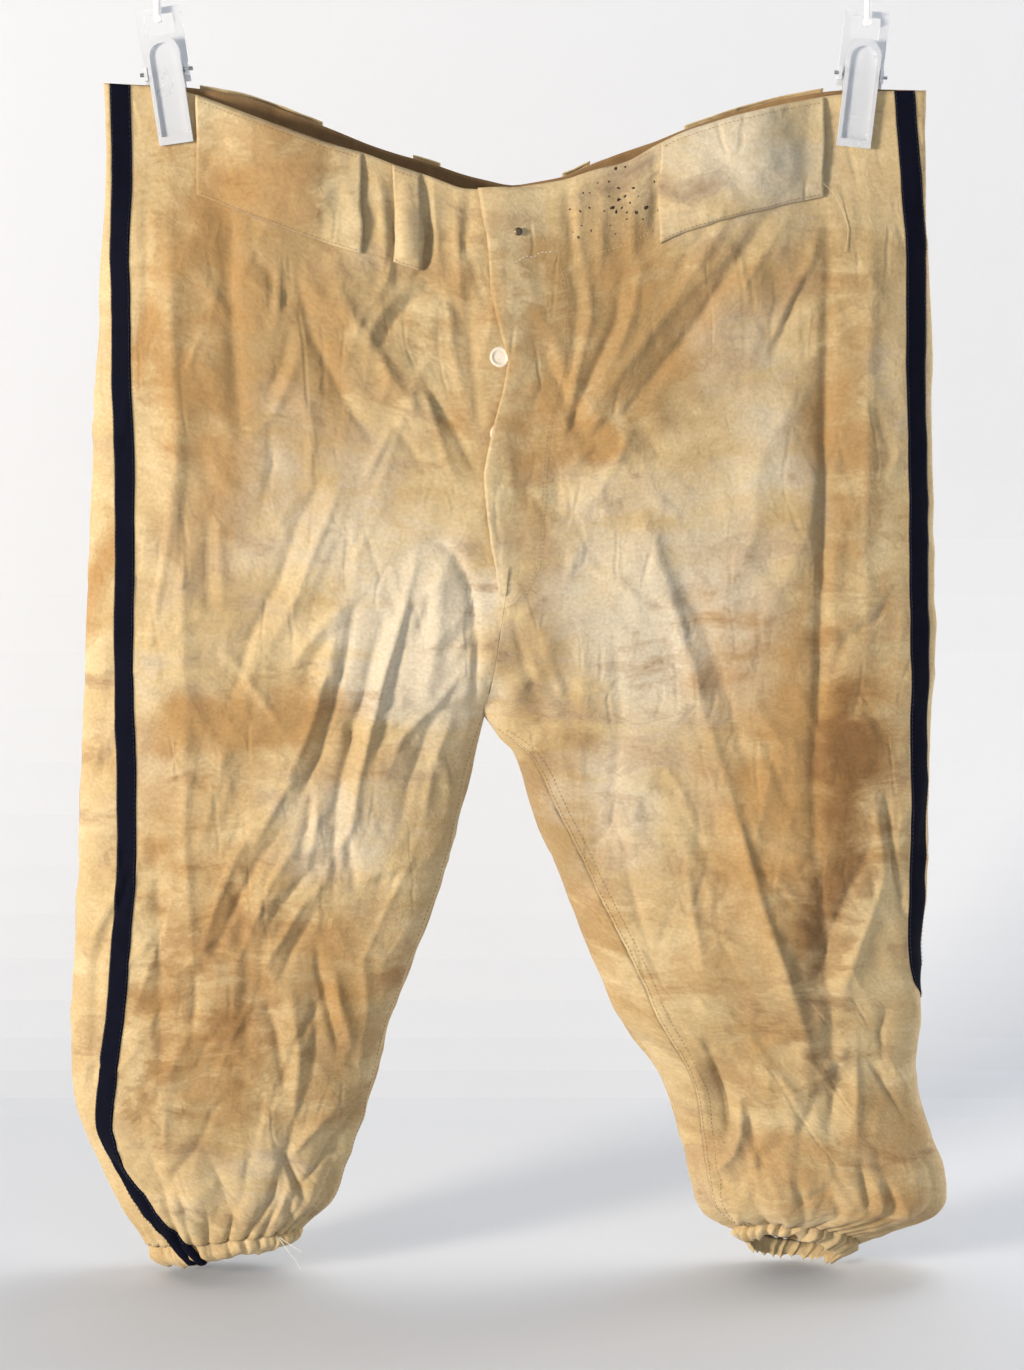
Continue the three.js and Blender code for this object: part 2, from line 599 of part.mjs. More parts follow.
// The underlap, inside the left front
const standGrid = [];
for (let r = 0; r < 8; r++) {
  const cells = [];
  for (let c = 0; c < 4; c++) cells.push(cellAt('front', mix(-1, 26, c / 3), mix(122, 300, r / 7)));
  standGrid.push(cells);
}
add('fly_stand', wallFrom(standGrid, -CLOTH - SEAM - 0.3 - THIN, -CLOTH - SEAM - 0.3), finishes.twill);

// A dished button or stud turned about its own axis, standing on the cloth
function turned(profile, cell, segments) {
  const points = profile.map(([r, h]) => new THREE.Vector2(r, h));
  const geometry = new THREE.LatheGeometry(points, segments);
  geometry.applyQuaternion(new THREE.Quaternion().setFromUnitVectors(new THREE.Vector3(0, 1, 0), cell.out));
  geometry.translate(cell.place.x, cell.place.y, cell.place.z);
  return welded(geometry);
}
// Joins points that fall together, so that the surface closes
function welded(geometry) {
  const p = geometry.getAttribute('position');
  const order = geometry.getIndex() ? Array.from(geometry.getIndex().array) : [...Array(p.count).keys()];
  const seen = new Map();
  const points = [];
  const index = [];
  for (const i of order) {
    const key = [p.getX(i), p.getY(i), p.getZ(i)].map((v) => Math.round(v * 2000)).join(',');
    if (!seen.has(key)) {
      seen.set(key, points.length / 3);
      points.push(p.getX(i), p.getY(i), p.getZ(i));
    }
    index.push(seen.get(key));
  }
  const faces = [];
  for (let i = 0; i < index.length; i += 3) {
    const [a, b, c] = [index[i], index[i + 1], index[i + 2]];
    if (a !== b && b !== c && a !== c) faces.push(a, b, c);
  }
  const made = new THREE.BufferGeometry();
  made.setAttribute('position', new THREE.Float32BufferAttribute(points, 3));
  made.setIndex(faces);
  return outward(made);
}
const BUTTON = [[0, 0], [5.4, 0], [6.5, 0.9], [6.4, 2.2], [5.2, 2.6], [3.6, 1.8], [0, 1.8]];
[168.8, 216.4, 264.9].forEach((drop, i) => {
  const cell = cellAt('front', -7.4, drop);
  cell.place.addScaledVector(cell.out, SEAM);
  add('fly_button_' + (i + 1), turned(BUTTON, cell, 18), finishes.button);
});
const snapCell = cellAt('front', 4, 92);
snapCell.place.addScaledVector(snapCell.out, flapRise(2, 2) + 1.2 + 2 * SEAM);
add('waist_snap', turned([[0, 0], [2.6, 0], [2.6, 0.5], [1.5, 1.1], [0, 1.1]], snapCell, 12), finishes.steel);

// Solids that are joined or cut
const { Manifold, Mesh: SolidMesh } = wasm;
function solid(geometry) {
  const g = welded(geometry);
  return new Manifold(new SolidMesh({
    numProp: 3,
    vertProperties: new Float32Array(g.getAttribute('position').array),
    triVerts: new Uint32Array(g.getIndex().array),
  }));
}
function geometryOf(body) {
  const m = body.getMesh();
  const g = new THREE.BufferGeometry();
  const points = [];
  for (let i = 0; i < m.numVert; i++) {
    for (let k = 0; k < 3; k++) points.push(m.vertProperties[i * m.numProp + k]);
  }
  g.setAttribute('position', new THREE.Float32BufferAttribute(points, 3));
  g.setIndex(Array.from(m.triVerts));
  return outward(g);
}
const box = (w, d, h, x, y, z) => solid(new THREE.BoxGeometry(w, d, h).translate(x, y, z));
function rod(radius, length, axis, x, y, z, segments = 16) {
  const g = new THREE.CylinderGeometry(radius, radius, length, segments);
  if (axis === 'x') g.rotateZ(Math.PI / 2);
  if (axis === 'z') g.rotateX(Math.PI / 2);
  return solid(g.translate(x, y, z));
}
// A tongue outline, square below and round at the top, standing in XZ and given a thickness in Y
function tongue(wide, bottom, top, y0, y1) {
  const shape = new THREE.Shape();
  const r = wide / 2;
  shape.moveTo(-r, bottom);
  shape.lineTo(r, bottom);
  shape.lineTo(r, top - r);
  shape.absarc(0, top - r, r, 0, Math.PI, false);
  shape.lineTo(-r, bottom);
  const g = new THREE.ExtrudeGeometry(shape, { depth: y1 - y0, bevelEnabled: false, curveSegments: 8 });
  g.rotateX(Math.PI / 2);
  g.translate(0, y1, 0);
  return solid(g);
}

// Clips. In their own frame the origin is on the waist's edge, between the jaws.
const JAW_GAP = CLIP_HALF + 0.6;
const PIN_Z = 10.5;
for (const side of ['right', 'left']) {
  const lean = THREE.MathUtils.degToRad(CLIP_LEAN[side]);
  const drop = side === 'right' ? 4 : 6;
  const place = (body, name, material) => {
    const g = geometryOf(body);
    g.rotateY(-lean);
    g.translate(CLIP_X[side], 0, -TOP - drop);
    add(name, g, material);
  };
  const trough = tongue(16.4, -29, 28, -JAW_GAP - 4.6, -JAW_GAP - 1.5);
  const jawEars = [-9.6, 9.6].map((x) => box(1.6, 6.6, 8, x, -JAW_GAP + 1.6, PIN_Z));
  let front = tongue(21.2, -34, 32, -JAW_GAP - 4, -JAW_GAP).subtract(trough);
  for (const ear of jawEars) front = front.add(ear);
  front = front.subtract(rod(1.6, 40, 'x', 0, 0, PIN_Z, 12));
  place(front, 'clip_' + side + '_front_jaw', finishes.plastic);
  let back = box(28, 2.4, 47, 0, JAW_GAP + 1.2, 26.5);
  back = back.subtract(box(17.5, 6, 13, 0, JAW_GAP + 1.2, 39.5));
  back = back.add(box(21.2, 2.4, 37, 0, JAW_GAP + 1.2, -15.5));
  for (const x of [-12.9, 12.9]) back = back.add(box(2.2, 7.6, 8, x, JAW_GAP - 2.4, PIN_Z));
  back = back.subtract(rod(1.6, 40, 'x', 0, 0, PIN_Z, 12));
  place(back, 'clip_' + side + '_back_jaw', finishes.plastic);
  place(rod(1.25, 33, 'x', 0, 0, PIN_Z, 12), 'clip_' + side + '_pin', finishes.steel);
}

// Hanger bar with its boss and the two fingers that hold the clips
const barZ = -TOP - BAR_DROP;
const FINGER_X = { right: -219.6, left: 220.4 };
let bar = rod(BAR_RADIUS, BAR_HALF * 2, 'x', 0, 0, barZ, 20);
bar = bar.add(box(18, 14, 14, 0, 0, barZ));
const neck = new THREE.CylinderGeometry(2.2, 2.2, 30, 20).rotateX(Math.PI / 2).translate(0, 0, barZ);
bar = bar.subtract(solid(neck));
for (const side of ['right', 'left']) {
  const x = FINGER_X[side];
  const down = new THREE.CylinderGeometry(2.4, 2.4, FINGER[side], 12)
    .rotateX(Math.PI / 2).translate(x, 0, barZ - FINGER[side] / 2);
  bar = bar.add(solid(down));
  bar = bar.add(rod(2.4, 13, 'y', x, 4.1, barZ - FINGER[side], 12));
}
add('hanger_bar', geometryOf(bar), finishes.plastic);

// Hook of round wire, its foot passing through the boss to a round head
const hookCentre = -HOOK_INSIDE;
const hookRadius = HOOK_INSIDE + HOOK_WIRE;
class HookLine extends THREE.Curve {
  getPoint(t, target = new THREE.Vector3()) {
    const foot = barZ - 9;
    const stem = -hookRadius * 2 + HOOK_WIRE - foot - 6;
    const arc = hookRadius * THREE.MathUtils.degToRad(250);
    const slide = 11;
    const at = t * (stem + slide + arc);
    if (at < stem) return target.set(0, 0, foot + at);
    if (at < stem + slide) {
      const f = (at - stem) / slide;
      return target.set(hookRadius * 0.22 * smooth(f), 0, foot + stem + f * 6.6);
    }
    const turn = THREE.MathUtils.degToRad(-77) + (at - stem - slide) / hookRadius;
    return target.set(hookRadius * Math.cos(turn), 0, hookCentre + hookRadius * Math.sin(turn));
  }
}
const round = new THREE.Shape();
round.absarc(0, 0, HOOK_WIRE, 0, Math.PI * 2, false);
const wire = new THREE.ExtrudeGeometry(round, { steps: 44, curveSegments: 5, extrudePath: new HookLine() });
const head = new THREE.CylinderGeometry(4, 4, 2, 16).rotateX(Math.PI / 2).translate(0, 0, barZ - 8.4);
add('hanger_hook', geometryOf(solid(wire).add(solid(head))), finishes.steel);

export default group;
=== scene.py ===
import math

import bmesh
import bpy
import numpy as np
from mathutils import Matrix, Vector


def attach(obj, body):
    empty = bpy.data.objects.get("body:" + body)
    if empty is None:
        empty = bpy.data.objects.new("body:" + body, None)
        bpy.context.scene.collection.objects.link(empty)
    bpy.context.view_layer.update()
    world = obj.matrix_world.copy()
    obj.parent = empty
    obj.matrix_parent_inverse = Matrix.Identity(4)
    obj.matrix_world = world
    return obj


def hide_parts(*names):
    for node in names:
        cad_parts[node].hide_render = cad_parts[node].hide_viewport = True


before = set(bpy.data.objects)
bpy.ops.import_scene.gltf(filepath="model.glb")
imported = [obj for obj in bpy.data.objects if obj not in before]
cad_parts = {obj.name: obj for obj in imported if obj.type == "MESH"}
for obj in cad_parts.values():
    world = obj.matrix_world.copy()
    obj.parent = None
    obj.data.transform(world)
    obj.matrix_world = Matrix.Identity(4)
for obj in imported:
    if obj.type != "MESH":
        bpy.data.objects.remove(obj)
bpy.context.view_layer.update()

bl_info = {
    "name": "Baseball pants on a clip hanger",
    "version": (1, 0, 0),
    "blender": (4, 5, 0),
    "location": "3D View > Sidebar > Pants",
    "description": "Cloth, braid, stitches and finishes of a pair of knee-length baseball pants",
    "category": "Object",
}

MM = 0.001

# Driving sizes, millimetres
TOP = 150.0          # from the hook's inside down to the top of the cloth
CROTCH = 397.0       # below the top of the cloth
CLIP_X = {"right": -213.0, "left": 215.5}
CLIP_HALF = 3.3      # half of what a clip squeezes the waist to
CLIP_FLAT = 24.0     # half width of the squeezed part
CLIP_FADE = 44.0     # and how far beside it the squeeze goes on
CLIP_DEEP = 42.0     # how far down a clip squeezes the cloth
CLIP_DEEP_FADE = 70.0
BRAID_WIDE = 12.7
GATHERS = 30         # round each hem
FINE_CREASES = 420   # long thin lines all over the cloth
SIDES = ("right", "left")
FACES = ("front", "back")
HEM_SEED = {"right": 31, "left": 47}      # which random row spaces the gathers
HEM_LOOSE = {"right": 0.9, "left": 1.7}   # how far the casings ruffle
FLOOR = -921.0


def columns(names, rows):
    """A table with named columns, as one array for each."""
    return dict(zip(names.split(), np.array(rows, float).T))


# Waist edge: how far it sags below the clips
WAIST = columns("x front back", [
    (-253, 0.5, 0.5), (-215, 3.5, 2.5), (-197, 7, 3.5), (-165, 19, 9), (-140, 28, 18), (-112, 38, 29),
    (-90, 44, 38), (-72, 51, 44), (-53, 57, 49), (-30, 66, 57), (0, 65, 64), (33, 60, 58), (50, 54, 50),
    (72, 49, 42), (88, 39, 37), (107, 30, 29), (136, 21, 19), (165, 14, 11), (192, 9, 6), (215, 6, 4),
    (257, 5, 5),
])

# Sections from waist to crotch; t is the share of the way down, the seams are measured from the outlines
BODY = columns("t mid front back wrap seat square centre right left right_seam left_seam", [
    (0.00, 0, 15, 14, 90, 90, 3.0, 0, -252.8, 256.7, 9.6, 13.4),
    (0.05, 0, 16, 15, 90, 90, 3.0, 0, -252.3, 256.7, 9.3, 11.6),
    (0.13, 0, 18, 18, 90, 90, 2.9, 0, -252.2, 256.8, 9.2, 8.5),
    (0.22, 0, 20, 20, 90, 90, 2.8, 0, -254.5, 256.9, 10.5, 6.5),
    (0.32, 0, 22, 23, 90, 90, 2.7, 0, -257.0, 259.0, 12.5, 8.0),
    (0.43, 0, 24, 25, 90, 90, 2.6, 0, -259.8, 262.0, 15.5, 10.5),
    (0.54, 0, 25, 27, 90, 90, 2.6, 0, -262.0, 263.6, 19.0, 9.5),
    (0.65, 0, 26, 29, 90, 90, 2.5, 0, -264.5, 265.0, 21.5, 9.5),
    (0.75, 1, 27, 30, 90, 90, 2.5, -3, -266.7, 266.3, 23.0, 10.0),
    (0.83, 2, 27, 31, 97, 92, 2.4, -7, -268.8, 267.6, 24.0, 10.0),
    (0.90, 4, 27, 31, 114, 104, 2.4, -10.5, -270.4, 268.0, 24.5, 9.8),
    (0.955, 8, 27, 31, 142, 132, 2.3, -14.5, -271.8, 267.8, 26.0, 9.0),
    (1.00, 12, 27, 31, 180, 180, 2.3, -18.6, -273.0, 267.0, 27.0, 8.5),
])

# Sections of a leg, from its outer fold to its inner one; lift raises the front and lowers the back
LEG_NAMES = "out drop inn drop_in mid front back lift side inner"
LEGS = {
    "right": columns(LEG_NAMES, [
        (-274.7, 425, -25.5, 421, 10, 27, 30, 0, 29.5, 1),
        (-277.0, 463, -34.0, 456, 6, 27, 29, 0, 31.5, 1),
        (-279.6, 505, -45.5, 500, 2, 27, 28, 0, 33.0, 1),
        (-282.6, 550, -62.0, 546, 0, 27, 27, 0, 31.5, 1),
        (-284.0, 573, -71.0, 571, 0, 27, 27, 0, 31.0, 1),
        (-284.8, 595, -80.0, 595, 0, 28, 28, 0, 29.0, 1),
        (-284.6, 635, -90.0, 636, 0, 30, 30, 0, 24.0, 1),
        (-279.0, 667, -100.0, 668, 0, 32, 32, 0, 15.5, 1),
        (-268.0, 695, -109.5, 694, 0, 33, 33, 1, 14.5, 1),
        (-254.5, 722, -119.5, 718, 0, 32, 31, 2, 19.0, 1),
        (-239.0, 750, -141.0, 738, 0, 23, 22, 2.5, 24.0, 1),
    ]),
    "left": columns(LEG_NAMES, [
        (266.6, 425, 2.5, 425, 12, 27, 30, 0, 6.5, 9),
        (266.8, 463, 15.0, 463, 9, 27, 29, 0, 6.5, 16),
        (267.2, 505, 32.0, 505, 5, 27, 28, 0, 7.0, 20),
        (262.5, 550, 50.5, 550, 2, 28, 29, 0, 3.5, 24),
        (262.0, 572, 59.5, 572, 1, 29, 30, 0, 0.5, 25.5),
        (263.8, 595, 69.5, 595, 0, 30, 31, 0, -4.0, 26),
        (262.0, 637, 98.0, 635, 0, 34, 35, 1, -13.0, 20),
        (270.0, 669, 110.0, 668, 0, 37, 37, 3, -19.0, 14),
        (281.5, 702, 117.0, 702, 0, 38, 38, 6, -24.0, 11),
        (277.0, 729, 127.0, 728, 0, 36, 35, 10, -24.0, 9),
        (227.0, 748, 150.0, 738, 0, 25, 24, 14, -18.0, 8),
    ]),
}

# Hem casings: top, belly and foot of each
HEMS = {
    "right": columns("out drop inn drop_in front back lift", [
        (-238.6, 750.5, -141.2, 738.5, 23.5, 22.5, 2.5),
        (-237.0, 758.5, -139.0, 744.5, 26.0, 25.0, 2.6),
        (-228.0, 766.0, -144.5, 751.0, 22.0, 21.0, 3.0),
    ]),
    "left": columns("out drop inn drop_in front back lift", [
        (226.5, 748.5, 150.5, 738.5, 25.5, 24.5, 14),
        (226.0, 754.5, 147.0, 744.0, 28.0, 27.0, 14),
        (215.0, 760.0, 152.0, 750.0, 24.0, 23.0, 14),
    ]),
}

# Fly flap: its free and its sewn edge
FLAP = columns("drop free sewn", [
    (64.5, -21, 34), (84, -17, 34), (103, -14.5, 34), (125, -13, 34), (148, -9, 33.5), (171, -2.5, 32),
    (188, -5, 28), (208, -11, 23), (240, -17.5, 20.5), (270, -16, 18.5), (296, -11, 14), (318, -7.5, 3),
])

# Belt tunnels and loops: place along the waist and height below its edge
TUNNELS = (
    ("tunnel_front_right", "front", -196, -93, 62),
    ("tunnel_front_left", "front", 92, 194, 62),
    ("tunnel_back_right", "back", -194, -119, 60),
    ("tunnel_back_left", "back", 108, 194, 60),
    ("loop_front_right", "front", -74, -57, 60),
    ("loop_back_right", "back", -62, -45, 58),
    ("loop_back_left", "back", 32, 49, 58),
)

# Creases: height (minus sinks in), half width, steepness (0 soft, 1 sharp on one side), and then x and
# drop of each place on the path
CREASES = {
    "front": (
        # wearer's right front, hip: the long ridge beside the braid and the hollow next to it
        (4.5, 14.4, -0.4, -213, 44, -212, 120, -209, 220, -207, 330, -206, 420),
        (2.9, 9.35, -0.4, -206, 400, -208, 470, -205, 530, -203, 575),
        (-5.4, 16.1, 0.1, -178, 72, -175, 150, -168, 232), (-2.8, 5.4, 0.2, -226, 46, -228, 100, -228, 160),
        (4, 10.2, -0.4, -116, 104, -96, 148, -70, 188, -50, 214),
        (-4, 7.65, 0.3, -136, 112, -124, 158, -102, 200, -82, 226),
        (-3.2, 5.4, 0.2, -62, 160, -52, 190, -36, 214, -20, 246),
        (2.8, 4.5, 0.4, -58, 168, -50, 204, -41, 232, -33, 248),
        (-2.9, 4.5, 0.2, -137, 150, -143, 174, -155, 196),
        (3, 5.4, 0.3, -129, 156, -137, 180, -149, 204, -168, 222),
        (-2.4, 4, 0.2, -150, 114, -149, 128, -150, 142), (-2.4, 4, 0.2, -141, 112, -140, 130, -143, 148),
        (2.2, 4, 0.3, -146, 112, -145, 130, -147, 150), (-3.2, 5, 0.2, -83, 163, -72, 144, -50, 124),
        (2.6, 5.4, 0.3, -90, 156, -78, 138, -56, 119), (2.9, 4.5, 0.5, -74, 212, -82, 226, -92, 245),
        (-2, 5, 0.2, -74, 212, -64, 224, -54, 242), (2.2, 5, 0.3, -40, 120, -38, 160, -30, 196),
        (-2.2, 5, 0.3, -27, 124, -25, 170, -20, 214), (2.4, 5, 0.3, -128, 196, -124, 222, -128, 252),
        (-2, 5.4, 0.2, -152, 206, -150, 236, -158, 268), (2, 4, 0.4, -213, 246, -222, 252, -230, 256),
        # right thigh
        (3.2, 4.95, 0.4, -212, 244, -215, 284, -222, 314, -230, 354),
        (-2.8, 5.4, 0.2, -205, 250, -207, 290, -214, 330),
        (-3.6, 7.65, -0.4, -116, 240, -134, 274, -146, 310, -164, 344, -174, 376, -184, 396),
        (3.2, 7.65, 0.4, -106, 246, -122, 284, -134, 316, -152, 350),
        (2.6, 4, 0.3, -182, 352, -168, 370, -154, 390, -143, 408),
        (2.8, 5, 0.3, -142, 370, -130, 350, -114, 332, -99, 318),
        (-2.4, 5.4, 0.2, -132, 374, -122, 354, -108, 340),
        (-4, 5, 0.3, -98, 318, -104, 352, -113, 388, -122, 420, -138, 454),
        (3.4, 7.2, 0.2, -108, 322, -116, 362, -128, 402, -144, 440, -160, 470),
        (5.6, 6.3, 0.3, -60, 292, -70, 336, -80, 366, -90, 404, -98, 436, -104, 476),
        (-4.1, 7.2, 0.2, -80, 330, -92, 372, -103, 412, -112, 452, -114, 500),
        (-3.1, 5.4, 0.3, -64, 320, -70, 352, -78, 384, -86, 420),
        (4.1, 14.4, 0, -44, 296, -46, 340, -56, 392),
        (-4.7, 5.4, -0.3, -62, 290, -48, 283, -36, 291, -26, 312, -22, 350, -24, 392),
        (2.6, 6.3, 0.2, -26, 358, -46, 384, -72, 412, -82, 440),
        (-2.4, 6.3, 0.2, -34, 372, -52, 402, -66, 440, -72, 470),
        (2.2, 5.4, 0.2, -38, 396, -52, 430, -58, 470), (-2.9, 4, 0.3, -128, 444, -130, 466, -137, 486),
        (2.2, 4, 0.3, -124, 446, -125, 468, -131, 490), (-2.4, 4, 0.2, -105, 396, -102, 412, -102, 428),
        (3.2, 5.4, 0.4, -248, 398, -258, 412, -270, 434), (-3, 5.4, 0.2, -250, 416, -262, 430, -266, 446),
        (-2.6, 5, 0.2, -254, 344, -252, 364, -256, 386), (2, 5.4, 0.2, -184, 268, -183, 296, -182, 330),
        (-2.2, 5.4, 0.2, -190, 264, -192, 300, -190, 334),
        # right knee
        (3.8, 5.4, -0.3, -246, 494, -254, 516, -268, 540, -276, 566),
        (-4, 5.4, 0.2, -248, 512, -258, 532, -268, 560, -269, 602, -272, 646),
        (2.9, 3.6, 0.4, -262, 620, -268, 617, -274, 628, -276, 646),
        (-2.8, 3.6, 0.2, -262, 626, -269, 624, -272, 640),
        (-4, 6.3, -0.3, -144, 466, -162, 490, -176, 518, -192, 552),
        (3.6, 7.2, 0.4, -136, 476, -154, 502, -166, 530, -178, 560),
        (2.9, 6.3, -0.2, -158, 458, -176, 486, -190, 520, -198, 548),
        (-2.9, 5, -0.3, -127, 494, -142, 510, -156, 532),
        (2.8, 5.4, 0.3, -120, 502, -136, 520, -150, 544, -160, 560),
        (-2.4, 5.4, 0.2, -124, 520, -140, 546, -150, 570),
        (-4.1, 4.5, 0.3, -125, 542, -124, 562, -118, 588, -111, 620),
        (-3.1, 7.65, 0, -128, 566, -126, 600, -130, 640), (3.8, 6.3, 0.4, -116, 556, -111, 584, -104, 616),
        (-3.2, 5, 0.2, -106, 474, -102, 492, -101, 510), (-1.8, 3.5, 0.2, -100, 508, -82, 504, -60, 499),
        (2.2, 5, 0.2, -98, 500, -80, 496, -62, 490), (-3.4, 11, 0, -227, 466, -226, 540, -226, 640),
        (-4.1, 14.4, 0.1, -176, 500, -170, 556, -172, 616), (-2.8, 4.5, 0.2, -204, 556, -203, 580, -206, 606),
        (-3, 5.4, 0.2, -162, 570, -152, 598, -146, 640), (3.6, 8.5, -0.3, -142, 572, -137, 616, -142, 668),
        (2.8, 7.65, 0, -96, 548, -94, 590, -100, 630),
        # right shin and hem
        (-2.4, 4, 0.2, -246, 648, -226, 643, -206, 639, -188, 640),
        (2.4, 5, 0.2, -240, 655, -222, 650, -204, 647),
        (-2.2, 4, 0.2, -199, 668, -192, 651, -184, 644, -170, 643),
        (-2.9, 6.3, -0.3, -196, 664, -206, 680, -218, 694, -224, 708),
        (3, 17, 0, -206, 712, -186, 694, -164, 694),
        (-4.9, 4.5, 0.2, -149, 676, -144, 690, -138, 704, -134, 716),
        (-5, 5.85, -0.4, -138, 706, -128, 692, -116, 672, -102, 657, -92, 648),
        (3.8, 7.2, 0.2, -146, 686, -132, 668, -112, 650), (3.1, 5, 0.2, -128, 712, -118, 692, -106, 678),
        (-3.2, 4, 0.2, -122, 684, -114, 682, -106, 685), (-3.1, 4, 0.2, -117, 688, -119, 704, -122, 720),
        (-4, 4.5, 0.2, -151, 694, -155, 710, -167, 730), (2.9, 5, 0.2, -144, 700, -149, 714, -158, 732),
        (-3.4, 4.5, 0.2, -141, 708, -145, 720, -147, 734),
        (-3.4, 4, 0.3, -217, 706, -211, 719, -200, 728, -188, 735),
        (3, 5, 0.2, -222, 710, -216, 724, -204, 735), (-2.6, 4, 0.2, -192, 716, -182, 722, -174, 732),
        (-3.2, 4, 0.3, -263, 682, -252, 699, -238, 711, -226, 726),
        (3, 5, 0.2, -258, 676, -246, 694, -234, 706), (-3, 4, 0.2, -236, 724, -232, 736, -226, 746),
        # wearer's left front, hip: the slanting hollow under the belt tunnel and the upright one beside the braid
        (4.1, 11, -0.4, 138, 76, 116, 112, 92, 148, 62, 186, 40, 212),
        (-4.9, 10.2, 0, 166, 72, 138, 112, 112, 152, 80, 192, 46, 226),
        (-6.3, 9.35, 0.1, 197, 78, 196, 160, 196, 260, 195, 360, 192, 440, 194, 500),
        (3.2, 12.8, 0, 222, 60, 223, 160, 222, 270, 226, 360),
        (3, 4.95, 0.2, 191, 88, 185, 110, 174, 130, 160, 162), (2.4, 6.3, 0.2, 170, 84, 154, 110, 140, 130),
        (-2.6, 5.4, 0.2, 184, 116, 172, 142, 160, 172),
        (2.9, 4.5, 0.3, 43, 98, 47, 122, 49, 144, 42, 172, 36, 198, 32, 226),
        (-4, 4.95, 0.3, 68, 118, 65, 148, 53, 172, 44, 192, 34, 220),
        (2.9, 6.3, 0.2, 80, 104, 76, 140, 64, 168, 50, 196),
        (-2.4, 4.5, 0.2, 37, 104, 41, 132, 40, 156, 34, 186), (2.2, 7.2, 0.2, 84, 186, 60, 214, 36, 238),
        # left thigh: the long pressed crest
        (4.5, 10.2, -0.6, 80, 262, 92, 292, 106, 334, 120, 386, 136, 436),
        (6.3, 11.9, -0.7, 132, 420, 146, 468, 160, 518, 174, 556, 188, 600, 194, 640),
        (-3.1, 11.9, 0, 104, 300, 124, 346, 142, 402, 154, 440),
        (-5.4, 12.8, 0, 196, 480, 200, 540, 206, 600, 208, 650), (-2.6, 7.65, 0.1, 64, 340, 69, 400, 64, 466),
        (2.4, 7.2, 0.2, 44, 336, 46, 396, 44, 450), (2.2, 4, 0.2, 196, 399, 210, 392, 224, 398, 234, 418),
        (-2.8, 5, 0.2, 246, 308, 230, 334, 211, 346, 200, 374),
        (-4.5, 4, 0.3, 238, 444, 241, 470, 244, 494, 252, 528), (3.1, 5, 0.2, 231, 440, 234, 474, 238, 500),
        (-3.2, 5.4, 0.2, 1, 334, 7, 358, 15, 384, 26, 412), (2.6, 6.3, 0.2, 14, 330, 26, 362, 40, 402),
        (2, 5, 0.3, 20, 318, 12, 326, 3, 334), (-2, 5, 0.2, 100, 318, 110, 336, 112, 360),
        (-2.6, 7.65, 0, 70, 470, 80, 520, 92, 560), (2.4, 7.65, 0, 110, 470, 116, 520, 124, 570),
        (1.8, 5, 0.2, 60, 470, 90, 478, 120, 470), (-1.8, 5, 0.2, 86, 438, 104, 444, 126, 440),
        # left knee
        (-3.6, 7.2, -0.4, 230, 478, 214, 514, 201, 548, 190, 582),
        (3.8, 7.65, 0.3, 242, 488, 228, 528, 214, 566, 208, 596),
        (4.1, 4.95, -0.4, 220, 606, 206, 620, 194, 634), (-3.8, 8.5, 0.2, 216, 628, 207, 642, 204, 668),
        (2.6, 3.5, 0.2, 221, 600, 221, 640, 221, 684), (-3.2, 5, 0.2, 229, 616, 240, 636, 256, 664),
        (2.9, 5.4, 0.2, 236, 610, 248, 630, 262, 652), (-3, 5, 0.2, 243, 580, 237, 602, 239, 624),
        (-6.8, 5.85, 0.2, 125, 606, 133, 630, 139, 650, 140, 674),
        (4.9, 4.95, 0.3, 147, 640, 148, 664, 143, 682, 130, 696),
        (-4, 4.95, 0.2, 151, 648, 155, 668, 163, 690), (3.1, 7.2, 0.2, 116, 612, 124, 640, 128, 670),
        (-2.6, 5, 0.2, 100, 588, 112, 602, 134, 608, 160, 604, 182, 590),
        (2.6, 5.4, 0.2, 108, 594, 128, 616, 158, 614, 180, 602),
        (2.6, 7.2, 0.2, 150, 620, 172, 628, 184, 644), (-2.6, 5.4, 0.2, 196, 638, 191, 654, 182, 668),
        (-2.2, 5, 0.2, 80, 604, 84, 596, 90, 588),
        # left shin and hem
        (-4.5, 4, 0.2, 129, 688, 134, 699, 141, 708), (-3.1, 5, 0.2, 138, 686, 150, 694, 160, 690),
        (-4.1, 4.95, 0.2, 224, 684, 228, 702, 231, 722), (-3.1, 5, 0.2, 222, 684, 240, 688, 262, 691),
        (3.1, 5.4, 0.2, 232, 694, 238, 708, 240, 724), (-3.8, 5, 0.2, 206, 704, 210, 714, 213, 724),
        (-3, 4.5, 0.2, 186, 712, 198, 705, 210, 704), (2.9, 5.4, 0.2, 164, 690, 172, 706, 176, 720),
        (-3.1, 5, 0.2, 182, 694, 186, 708, 190, 722), (2.8, 5.4, 0.2, 246, 702, 252, 714, 258, 724),
        (-2.8, 5, 0.2, 240, 700, 248, 712, 246, 722),
        # waist folds between the loops
        (3.2, 5, 0.5, -82, 52, -80, 84, -78, 116), (-3.2, 5, 0.3, -74, 54, -73, 90, -71, 128),
        (3.1, 5, 0.5, -50, 60, -47, 90, -45, 124), (-4.1, 5, 0.3, -53, 60, -53, 90, -54, 118),
        (3, 5.4, 0.5, -34, 66, -34, 96, -32, 138), (-4.1, 5, 0.3, -26, 66, -27, 84, -30, 108),
        (3.1, 5, 0.5, 40, 60, 41, 92, 42, 118), (-4, 4.5, 0.3, 34, 58, 35, 80, 39, 108),
        (2.8, 5, 0.5, 56, 54, 56, 84, 54, 120), (-3.8, 5, 0.3, 88, 42, 89, 70, 88, 100),
        (2.4, 5, 0.4, 76, 48, 75, 80, 74, 112),
    ),
    "back": (
